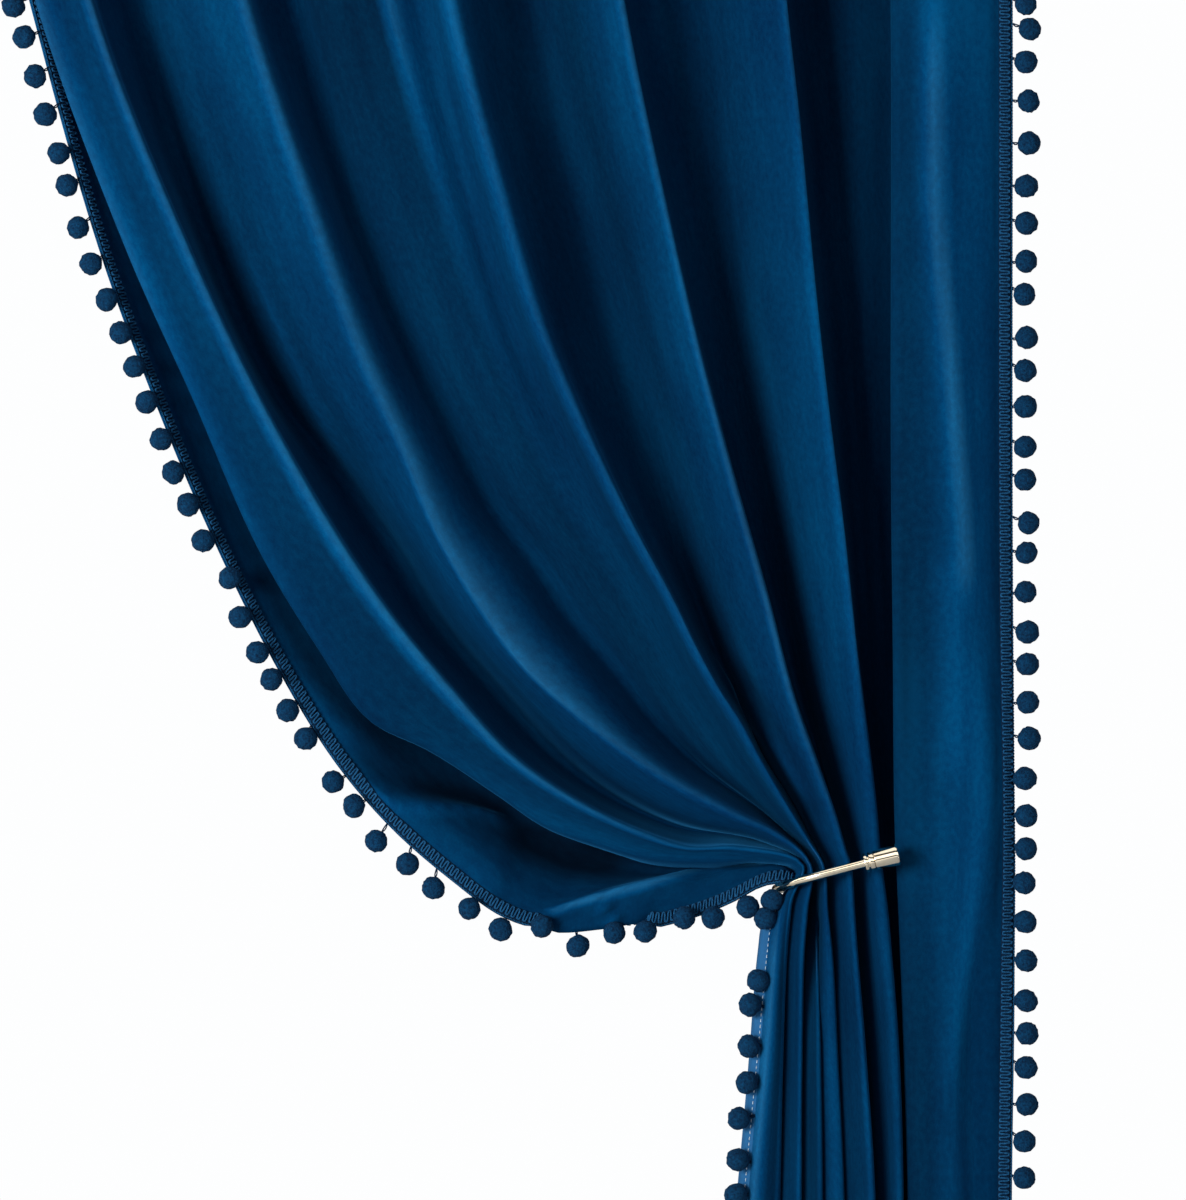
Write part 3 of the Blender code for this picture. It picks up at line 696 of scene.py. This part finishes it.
clothPlaces, clothNormals, flatX, flatZ, clothPaintedTones = clothGrid()
halfCloth = clothMesh["thickness"] / 2
panelMesh = closedClothMesh("velvet_panel", clothPlaces + clothNormals * halfCloth,
                            clothPlaces - clothNormals * halfCloth, flatX, flatZ, clothPaintedTones)
panel = addPiece("velvet_panel", panelMesh, [velvetPile, velvetBacking])
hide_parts("drape_panel")
print("panel hung:", len(flatX), "columns,",
      sum(len(p.vertices) - 2 for p in panelMesh.polygons), "triangles")


# The trim: gimp braid sewn on the front along both edges, with pompoms on short threads
braidShape = {
    "baseThickness": 0.7 * mm,
    "lift": 0.25 * mm,           # the base lies this far off the cloth's face
    "baseStep": 3.0 * mm,
    "baseIns": (1.6 * mm, 4.2 * mm, 6.8 * mm, 9.4 * mm, 11.7 * mm),    # in from the edge
    "rung": 2.5 * mm,            # spacing of the cord's crossings
    "slant": 0.3,                # how far a crossing leans, as a share of the spacing
    "turnFlat": 1.3,             # above 1, the turns run along the braid for a while
    "cordHalfWidth": 0.76 * mm,
    "cordHalfHeight": 0.9 * mm,
    "cordHump": 0.25 * mm,       # the cord rises between its turns
    "crossFrom": 3.0 * mm,       # the crossings, measured from the braid's outer edge
    "crossTo": 10.9 * mm,
    "endGap": 0.5 * mm,
    "picotPitch": 2.4 * mm,
    "picotFrom": 1.5 * mm,
    "picotDepth": 1.0 * mm,
    "picotCord": 0.5 * mm,
    "cordSteps": 5,              # points to a crossing, and to a scallop
}


class EdgeBand:
    # the strip of cloth along one edge: distance along it, distance in from the edge, and height

    def __init__(self, fromStart):
        ins = np.arange(6) * 3.0 * mm
        places = clothPlaces if fromStart else clothPlaces[:, ::-1]
        normals = clothNormals if fromStart else clothNormals[:, ::-1]
        bandPlaces, bandNormals = [], []
        for row in range(len(places)):
            along = lengthsAlong(places[row])
            bandPlaces.append(pointsAt(places[row], along, ins))
            bandNormals.append(pointsAt(normals[row], along, ins))
        self.ins = ins
        self.places = np.array(bandPlaces)
        self.normals = np.array(bandNormals)
        self.along = lengthsAlong(self.places[:, 0])
        self.length = self.along[-1]

    def sample(self, table, distance, inward):
        row = np.interp(distance, self.along, np.arange(len(self.along)))
        row = np.clip(row, 0, len(self.along) - 1.000001)
        column = np.clip(inward / (self.ins[1] - self.ins[0]), -1.0, len(self.ins) - 1.000001)
        r0 = row.astype(int)
        c0 = np.clip(column.astype(int), 0, len(self.ins) - 2)
        fr = (row - r0)[:, None]
        fc = (column - c0)[:, None]
        upper = table[r0, c0] * (1 - fc) + table[r0, c0 + 1] * fc
        lower = table[r0 + 1, c0] * (1 - fc) + table[r0 + 1, c0 + 1] * fc
        return upper * (1 - fr) + lower * fr

    def normal(self, distance, inward):
        found = self.sample(self.normals, distance, inward)
        return found / np.linalg.norm(found, axis=1, keepdims=True)

    def place(self, distance, inward, height):
        found = self.sample(self.places, distance, inward)
        return found + self.normal(distance, inward) * np.asarray(height).reshape(-1, 1)

    def spot(self, distance, inward=0.0, height=0.0):
        return self.place(np.array([distance]), np.array([inward]), [height])[0]

    def cord(self, distance, inward, height, halfWidth, halfHeight, sides):
        path = self.place(distance, inward, height)
        return cordShape(path, self.normal(distance, inward), halfWidth, halfHeight, sides)


def cordShape(path, ups, halfWidth, halfHeight, sides):
    # a closed cord along a path; ups point out of the cloth
    heading = np.gradient(path, axis=0)
    heading /= np.maximum(np.linalg.norm(heading, axis=1, keepdims=True), 1e-12)
    side = np.cross(heading, ups)
    side /= np.maximum(np.linalg.norm(side, axis=1, keepdims=True), 1e-12)
    up = np.cross(side, heading)
    turns = 2 * np.pi * np.arange(sides) / sides
    ring = (side[:, None] * (np.cos(turns) * halfWidth)[None, :, None]
            + up[:, None] * (np.sin(turns) * halfHeight)[None, :, None])
    points = (path[:, None] + ring).reshape(-1, 3)
    faces = []
    for low in range(0, (len(path) - 1) * sides, sides):
        for k in range(sides):
            after = (k + 1) % sides
            faces.append((low + k, low + after, low + sides + after, low + sides + k))
    faces.append(tuple(reversed(range(sides))))
    faces.append(tuple(range((len(path) - 1) * sides, len(path) * sides)))
    return points, faces


def joinShapes(name, shapes, slots):
    # shapes are (points, faces) whose faces count from their own first point
    points, faces, count, faceSlots = [], [], 0, []
    for (shapePoints, shapeFaces), slot in zip(shapes, slots):
        points.append(shapePoints)
        faces += [tuple(i + count for i in face) for face in shapeFaces]
        faceSlots += [slot] * len(shapeFaces)
        count += len(shapePoints)
    mesh = newMesh(name, points, faces, faceSlots)
    shape = bmesh.new()
    shape.from_mesh(mesh)
    bmesh.ops.recalc_face_normals(shape, faces=shape.faces)
    shape.to_mesh(mesh)
    shape.free()
    mesh.update()
    return mesh


def braidShapes(band):
    # the base ribbon, the cord that crosses to and fro, and the scalloped outer cord
    look = braidShape
    floor = halfCloth + look["lift"]
    top = floor + look["baseThickness"]
    steps = look["cordSteps"]
    along = np.arange(0, band.length, look["baseStep"])
    layers = []
    for height in (top, floor):
        lines = [band.place(along, np.full(len(along), inward), np.full(len(along), height))
                 for inward in look["baseIns"]]
        layers.append(np.stack(lines, axis=1).reshape(-1, 3))
    base = (np.concatenate(layers), layerFaces(len(along), len(look["baseIns"]))[0])
    rung = look["rung"]
    phase = np.arange(int(band.length / rung) * steps) * math.pi / steps
    distance = phase / math.pi * rung + look["slant"] * rung * np.sin(2 * phase) / 2
    distance = np.clip(distance, look["endGap"], band.length - look["endGap"])
    middle = (look["crossFrom"] + look["crossTo"]) / 2
    reach = (look["crossTo"] - look["crossFrom"]) / 2
    inward = middle + reach * np.clip(look["turnFlat"] * np.cos(phase), -1, 1)
    height = top + look["cordHalfHeight"] * 0.5 + look["cordHump"] * np.sin(phase) ** 2
    crossing = band.cord(distance, inward, height, look["cordHalfWidth"], look["cordHalfHeight"], 5)
    pitch, radius = look["picotPitch"], look["picotCord"]
    phase = np.arange(int(band.length / pitch) * steps) / steps
    distance = np.clip(phase * pitch, 0, band.length)
    inward = look["picotFrom"] - look["picotDepth"] * np.abs(np.sin(math.pi * phase)) ** 0.8
    scallops = band.cord(distance, inward, np.full(len(phase), floor + radius), radius, radius, 4)
    return [base, crossing, scallops]


pompomShape = {
    "radius": 9.2 * mm,
    "pitch": 30.0 * mm,
    "reach": 12.5 * mm,
    "seed": 11,
    "uneven": 0.5 * mm,
    "squeeze": 0.05,
    "thread": 0.6 * mm,          # half its thickness
    "bow": 0.75 * mm,            # the two threads part by this much each
    "sag": 0.8 * mm,
    "root": (0.4 * mm, 0.7 * mm),    # in from the edge, and off the cloth's face
    "endGap": 6.0 * mm,          # no ball hangs nearer to the trim's ends
    "spacing": (0.012, 0.08),    # least and most from a seen ball to the next one, along the edge
    "clear": 4.0 * mm,           # a ball that lies over the edge is lifted off it
    "backX": 1026,               # the back edge's balls, in pixels of the picture
}


# Centres of the balls, in pixels of the picture
leadingBalls = ((15, 8), (26, 39), (37, 78), (47, 116), (61, 155), (69, 187), (80, 229),
                (93, 265), (109, 301), (123, 334), (137, 368), (149, 403), (163, 440), (175, 473),
                (190, 505), (205, 541), (232, 578), (242, 617), (259, 652), (273, 679), (289, 710),
                (307, 738), (334, 781), (355, 805), (377, 840), (408, 863), (434, 887), (470, 907),
                (501, 928), (542, 925), (578, 945), (614, 932), (645, 930), (684, 917), (713, 917),
                (748, 907), (772, 900), (765, 918), (757, 979), (749, 1003), (748, 1044),
                (746, 1080), (738, 1116), (737, 1157), (735, 1192))
backBalls = (5, 30, 63, 102, 144, 187, 224, 262, 295, 338, 371, 407, 447, 480, 523, 553, 592, 632,
             664, 702, 738, 778, 815, 848, 882, 921, 960, 1000, 1033, 1067, 1104, 1141, 1177)


def ballShape():
    # one ball of cut yarn, with its own points and faces
    deselectAll()
    bpy.ops.mesh.primitive_ico_sphere_add(subdivisions=3, radius=pompomShape["radius"])
    ball = bpy.context.object
    bpy.ops.object.mode_set(mode="EDIT")
    bpy.ops.mesh.select_all(action="SELECT")
    bpy.ops.transform.vertex_random(offset=pompomShape["uneven"], uniform=0.2, normal=1.0,
                                    seed=pompomShape["seed"])
    bpy.ops.object.mode_set(mode="OBJECT")
    points = np.array([v.co for v in ball.data.vertices])
    faces = [tuple(p.vertices) for p in ball.data.polygons]
    bpy.data.meshes.remove(ball.data)
    return points, faces


def turnedBy(points, rng):
    # the same ball, turned at random and squeezed a little
    axes = np.linalg.qr(rng.normal(size=(3, 3)))[0]
    squeeze = 1 + rng.uniform(-pompomShape["squeeze"], pompomShape["squeeze"], 3)
    return (points * squeeze) @ axes.T


def pompomShapes(band, centres, rng, ball):
    look = pompomShape
    shapes, slots = [], []
    ballPoints, ballFaces = ball
    arc = np.linspace(0, 1, 6)[:, None]
    for distance, centre in centres:
        root = band.spot(distance, look["root"][0], halfCloth + look["root"][1])
        centre = np.asarray(centre)
        shapes.append((centre + turnedBy(ballPoints, rng), ballFaces))
        towards = (centre - root) / np.linalg.norm(centre - root)
        run = centre - towards * look["radius"] * 0.9 - root
        side = np.cross(towards, (0.0, 1.0, 0.0))
        side /= max(np.linalg.norm(side), 1e-9)
        for way in (-1, 1):
            bend = side * way * look["bow"] + np.array((0, 0, -1.0)) * look["sag"]
            path = root + run * arc + bend * np.sin(np.pi * arc)
            ups = np.tile((0.0, -1.0, 0.0), (len(path), 1))
            shapes.append(cordShape(path, ups, look["thread"], look["thread"], 5))
        slots += [0, 1, 1]
    return shapes, slots


def nearestOnBand(band, x, z, low, high):
    edge = band.places[:, 0]
    inside = (band.along >= low) & (band.along <= high)
    away = np.where(inside, (edge[:, 0] - x) ** 2 + (edge[:, 2] - z) ** 2, farAway)
    return band.along[int(np.argmin(away))]


def seenCentres(band, fromStart, rng):
    # balls that the picture shows, each with the place on the edge where it hangs
    look = pompomShape
    if fromStart:
        seen = [(pictureX(px), pictureZ(py)) for px, py in leadingBalls]
    else:
        seen = [(pictureX(look["backX"] + rng.uniform(-3, 3)), pictureZ(py)) for py in backBalls]
    centres = []
    for x, z in seen:
        low, high = 0.0, farAway
        if fromStart and centres:
            low, high = (centres[-1][0] + step for step in look["spacing"])
        distance = nearestOnBand(band, x, z + 3 * mm, low, high)
        edge = band.spot(distance)
        over = max(0.0, 1 - math.hypot(edge[0] - x, edge[2] - z) / (look["radius"] + look["clear"]))
        y = edge[1] - 2 * mm - over * (look["radius"] + 3 * mm)
        if fromStart:
            y -= 16 * mm * float(turnedUnderShare(np.array([x]), np.array([0.95]))[0])
        centres.append((distance, (x, y, z)))
    return centres


def hangingCentres(band, distances, outwardSign, rng):
    # balls that the picture doesn't show, at their even pitch
    look = pompomShape
    found = []
    for distance in distances:
        here = band.spot(distance)
        run = band.spot(distance + 4 * mm) - here
        outward = np.array((-run[2], 0.0, run[0])) * outwardSign
        outward /= np.linalg.norm(outward)
        hang = outward + np.array((rng.uniform(-0.05, 0.05), -0.15, -0.35 + rng.uniform(-0.2, 0.2)))
        hang /= np.linalg.norm(hang)
        reach = look["reach"] + look["radius"] * 0.4 * rng.uniform(0.2, 1.0)
        found.append((distance, here + hang * reach))
    return found


def makeTrim(fromStart, name, node):
    band = EdgeBand(fromStart)
    braid = addPiece("braid_" + name, joinShapes("braid_" + name, braidShapes(band), (1, 0, 0)),
                     [braidYarn, darkYarnAndShade])
    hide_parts(node)
    rng = np.random.default_rng(5 if fromStart else 8)
    sign = -1.0 if fromStart else 1.0
    centres = seenCentres(band, fromStart, rng)
    pitch, endGap = pompomShape["pitch"], pompomShape["endGap"]
    above = np.arange(centres[0][0] - pitch, endGap, -pitch)
    below = np.arange(centres[-1][0] + pitch, band.length - endGap, pitch)
    centres += hangingCentres(band, above, sign, rng) + hangingCentres(band, below, sign, rng)
    shapes, slots = pompomShapes(band, centres, rng, ballShape())
    balls = addPiece("pompoms_" + name, joinShapes("pompoms_" + name, shapes, slots),
                     [pompomYarn, darkYarnAndShade])
    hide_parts(node)
    print("trim", name, "sewn on:", len(centres), "pompoms")
    return band, braid, balls


leadingBand, leadingBraid, leadingPompoms = makeTrim(True, "leading", "trim_leading")
backBand, backBraid, backPompoms = makeTrim(False, "back", "trim_back")


# The metal holdback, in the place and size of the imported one
holdbackShape = {
    "rodRadius": 3.6 * mm,
    "bendRadius": 43.0 * mm,
    "bendCentreX": 294.0 * mm,
    "plateX": 330.0 * mm,
    "stemBend": 15.0 * mm,
    "wallY": 100.0 * mm,
    "plateThickness": 6.0 * mm,
    "endX": 319.5 * mm,
    "endZ": -1273.0 * mm,
    "rise": 0.263,
    "drop": 0.116,
    "capGap": 0.2 * mm,          # between the collar and the end cap
}

# What is turned, in millimetres: radius and height from the bottom up
turnedRings = {
    "plate": ((24.6, 0.0), (25.0, 0.4), (25.0, 2.0), (24.2, 3.1), (22.0, 4.5), (12.5, 5.3), (6.4, 5.8),
              (5.2, 6.0)),
    "collar": ((7.0, 0.0), (7.45, 0.15), (7.6, 0.6), (7.6, 2.0), (7.45, 2.45), (7.0, 2.7), (5.6, 2.8),
               (5.6, 3.8), (7.0, 4.0), (7.45, 4.2), (7.6, 4.6), (7.6, 7.2), (7.45, 7.7), (7.0, 8.0)),
    "cap": ((7.2, 0.0), (7.6, 0.35), (7.75, 0.9), (8.2, 9.0), (8.6, 17.8), (8.5, 18.6), (8.1, 19.2),
            (7.0, 19.7), (5.0, 20.2), (2.5, 20.45), (0.4, 20.5)),
}


def rodHeight(x, y):
    shape = holdbackShape
    depth = min(max(y + shape["bendRadius"], 0.0), 2 * shape["bendRadius"])
    return shape["endZ"] + shape["rise"] * (x - shape["endX"]) - shape["drop"] * depth


def rodRoute():
    shape = holdbackShape
    plan = [(shape["plateX"], shape["wallY"] - shape["plateThickness"] + 0.4 * mm)]
    cornerX = shape["plateX"] - shape["stemBend"]
    cornerY = shape["bendRadius"] + shape["stemBend"]
    plan.append((shape["plateX"], (plan[0][1] + cornerY) / 2))
    for k in range(13):
        turn = math.radians(90 * k / 12)
        plan.append((cornerX + shape["stemBend"] * math.cos(turn),
                     cornerY - shape["stemBend"] * math.sin(turn)))
    for k in range(49):
        turn = math.radians(90 + 180 * k / 48)
        plan.append((shape["bendCentreX"] + shape["bendRadius"] * math.cos(turn),
                     shape["bendRadius"] * math.sin(turn)))
    plan.append((shape["endX"], -shape["bendRadius"]))
    stemZ = rodHeight(cornerX, shape["bendRadius"])
    return [(x, y, rodHeight(x, y) if y <= shape["bendRadius"] + 0.5 * mm else stemZ)
            for x, y in plan]


def makeRod(route):
    shape = bpy.data.curves.new("holdback_rod", "CURVE")
    shape.dimensions = "3D"
    spline = shape.splines.new("POLY")
    spline.points.add(len(route) - 1)
    for place, point in zip(spline.points, route):
        place.co = (*point, 1.0)
    shape.bevel_depth = holdbackShape["rodRadius"]
    shape.bevel_resolution = 5
    shape.use_fill_caps = True
    rod = newObject("holdback_rod", shape)
    deselectAll()
    rod.select_set(True)
    bpy.context.view_layer.objects.active = rod
    bpy.ops.object.convert(target="MESH")
    rod = bpy.context.object
    bpy.ops.object.shade_smooth_by_angle(angle=math.radians(40))
    return rod


def turnedPiece(name, rings, place, axis, segments):
    rings = [(radius * mm, height * mm) for radius, height in rings]
    deselectAll()
    bpy.ops.mesh.primitive_circle_add(vertices=segments, radius=rings[0][0], fill_type="NGON",
                                      location=(0, 0, 0))
    piece = bpy.context.object
    piece.name = name
    bpy.ops.object.mode_set(mode="EDIT")
    bpy.ops.mesh.select_all(action="SELECT")
    bpy.ops.transform.translate(value=(0, 0, rings[0][1]))
    for (radius, height), (nextRadius, nextHeight) in zip(rings, rings[1:]):
        bpy.ops.mesh.extrude_region_move(
            TRANSFORM_OT_translate={"value": (0, 0, nextHeight - height)})
        scale = nextRadius / radius
        bpy.ops.transform.resize(value=(scale, scale, 1), center_override=(0, 0, nextHeight))
    bpy.ops.mesh.select_all(action="SELECT")
    bpy.ops.mesh.normals_make_consistent(inside=False)
    bpy.ops.object.mode_set(mode="OBJECT")
    piece.rotation_mode = "QUATERNION"
    piece.rotation_quaternion = Vector((0, 0, 1)).rotation_difference(Vector(axis))
    piece.location = place
    bpy.ops.object.transform_apply(location=True, rotation=True, scale=True)
    bpy.ops.object.shade_smooth_by_angle(angle=math.radians(28))
    return piece


def dressMetal(piece, node):
    piece.data.materials.clear()
    piece.data.materials.append(polishedGold)
    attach(piece, "root")
    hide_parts(node)


def makeHoldback():
    shape = holdbackShape
    route = rodRoute()
    dressMetal(makeRod(route), "holdback_arm")
    plate = turnedPiece("holdback_wall_plate", turnedRings["plate"],
                        (shape["plateX"], shape["wallY"], route[0][2]), (0, -1, 0), 64)
    dressMetal(plate, "holdback_plate")
    axis = Vector((1.0, 0.0, shape["rise"])).normalized()
    end = Vector(route[-1])
    collar = turnedPiece("holdback_turned_collar", turnedRings["collar"], end, axis, 48)
    dressMetal(collar, "holdback_collar")
    capStart = turnedRings["collar"][-1][1] * mm + shape["capGap"]
    cap = turnedPiece("holdback_end_cap", turnedRings["cap"], end + axis * capStart, axis, 48)
    dressMetal(cap, "holdback_finial")
    print("holdback turned and bent")


makeHoldback()


# Sewing: a line of pale stitches shows on the reverse, where the braid is sewn on
stitchLook = {
    "pitch": 4.6 * mm,
    "length": 2.5 * mm,
    "radius": 0.42 * mm,
    "inward": 5.0 * mm,
    "behind": 0.2 * mm,                # how far the thread lies off the reverse
    "arch": np.array((0.9, 1.1, 0.9)),
}


def stitchShapes(band):
    look = stitchLook
    heights = (-halfCloth - look["behind"]) * look["arch"]
    inward = np.full(3, look["inward"])
    return [band.cord(start + np.linspace(0, look["length"], 3), inward, heights, look["radius"],
                      look["radius"], 4)
            for start in np.arange(look["pitch"], band.length - look["pitch"], look["pitch"])]


allStitches = stitchShapes(leadingBand) + stitchShapes(backBand)
stitches = addPiece("trim_stitches", joinShapes("trim_stitches", allStitches, [0] * len(allStitches)),
                    [paleThread])
print("stitches sewn:", len(allStitches))


# Floor, light and surroundings
lightSetup = {
    # place, size, power, colour
    "key": ((-2.3, -3.1, -0.75), (1.6, 1.4), 135, (1.0, 0.98, 0.96)),
    "fill": ((4.2, -0.9, -0.8), (0.8, 2.0), 4, (0.95, 0.97, 1.0)),
    "top": ((-4.0, -0.5, -0.8), (0.8, 2.0), 4, (1.0, 1.0, 1.0)),
}
surroundings = {
    "lightAim": (0.1, 0.0, -1.1),
    "ambient": 0.2,
    "ambientColour": (0.9, 0.95, 1.0, 1),
    "background": (0.985, 0.99, 0.995, 1),
    "behindMetal": (0.06, 0.045, 0.03, 1),    # dark, so that the metal's outline reads
    "floorSide": 3.8,
    "floorLevel": -2.16,
}


def addLights():
    for name, (place, size, power, colour) in lightSetup.items():
        lamp = bpy.data.lights.new(name, "AREA")
        lamp.shape = "RECTANGLE"
        lamp.size, lamp.size_y = size
        lamp.energy = power
        lamp.color = colour
        light = newObject(name, lamp)
        light.location = place
        aim = Vector(surroundings["lightAim"]) - Vector(place)
        light.rotation_euler = aim.to_track_quat("-Z", "Y").to_euler()


# Brightness of the studio that polished metal mirrors: height of the direction, grey
mirroredStudio = ((0.0, 0.05), (0.20, 0.08), (0.24, 1.30), (0.42, 1.40), (0.46, 0.05), (0.53, 0.04),
                  (0.57, 1.50), (0.76, 1.80), (0.80, 0.06), (0.88, 0.05), (0.92, 1.2), (1.0, 1.2))


def setSurroundings():
    setup = surroundings
    world = bpy.data.worlds.new("studio")
    bpy.context.scene.world = world
    world.use_nodes = True
    kit = NodeKit(world.node_tree)
    kit.nodes.clear()
    seen = kit.add("Background", {"Color": setup["background"]})
    ambient = kit.add("Background", {"Color": setup["ambientColour"], "Strength": setup["ambient"]})
    direction = kit.add("TexCoord").outputs["Generated"]
    parts = kit.add("SeparateXYZ", {"Vector": direction}).outputs
    height = kit.math("MULTIPLY_ADD", parts["Z"], 0.5, 0.5)
    bands = [(place, (grey, grey * 0.97, grey * 0.92, 1)) for place, grey in mirroredStudio]
    behind = kit.ramp(parts["Y"], (0.60, (1, 1, 1, 1)), (0.90, setup["behindMetal"]))
    inMetal = kit.vectorMath("MULTIPLY", {0: kit.ramp(height, *bands), 1: behind})
    mirrored = kit.add("Background", {"Color": inMetal})
    rays = kit.add("LightPath").outputs
    lit = kit.add("MixShader", {"Fac": rays["Is Glossy Ray"], 1: ambient.outputs["Background"],
                                2: mirrored.outputs["Background"]})
    mix = kit.add("MixShader", {"Fac": rays["Is Camera Ray"], 1: lit.outputs["Shader"],
                                2: seen.outputs["Background"]})
    kit.add("OutputWorld", {"Surface": mix.outputs["Shader"]})


def addFloor():
    mesh = bpy.data.meshes.new("floor")
    side, level = surroundings["floorSide"], surroundings["floorLevel"]
    mesh.from_pydata([(-side, -side, level), (side, -side, level), (side, side, level),
                      (-side, side, level)], [], [(0, 1, 2, 3)])
    floor = newObject("floor", mesh)
    material, kit, shader = newMaterial("paleFloor")
    kit.fill(shader, {"Base Color": (0.8, 0.8, 0.79, 1), "Roughness": 0.8})
    mesh.materials.append(material)


addLights()
setSurroundings()
addFloor()
bpy.context.scene.view_settings.view_transform = "Standard"
print("lights and floor set")

bpy.context.view_layer.update()
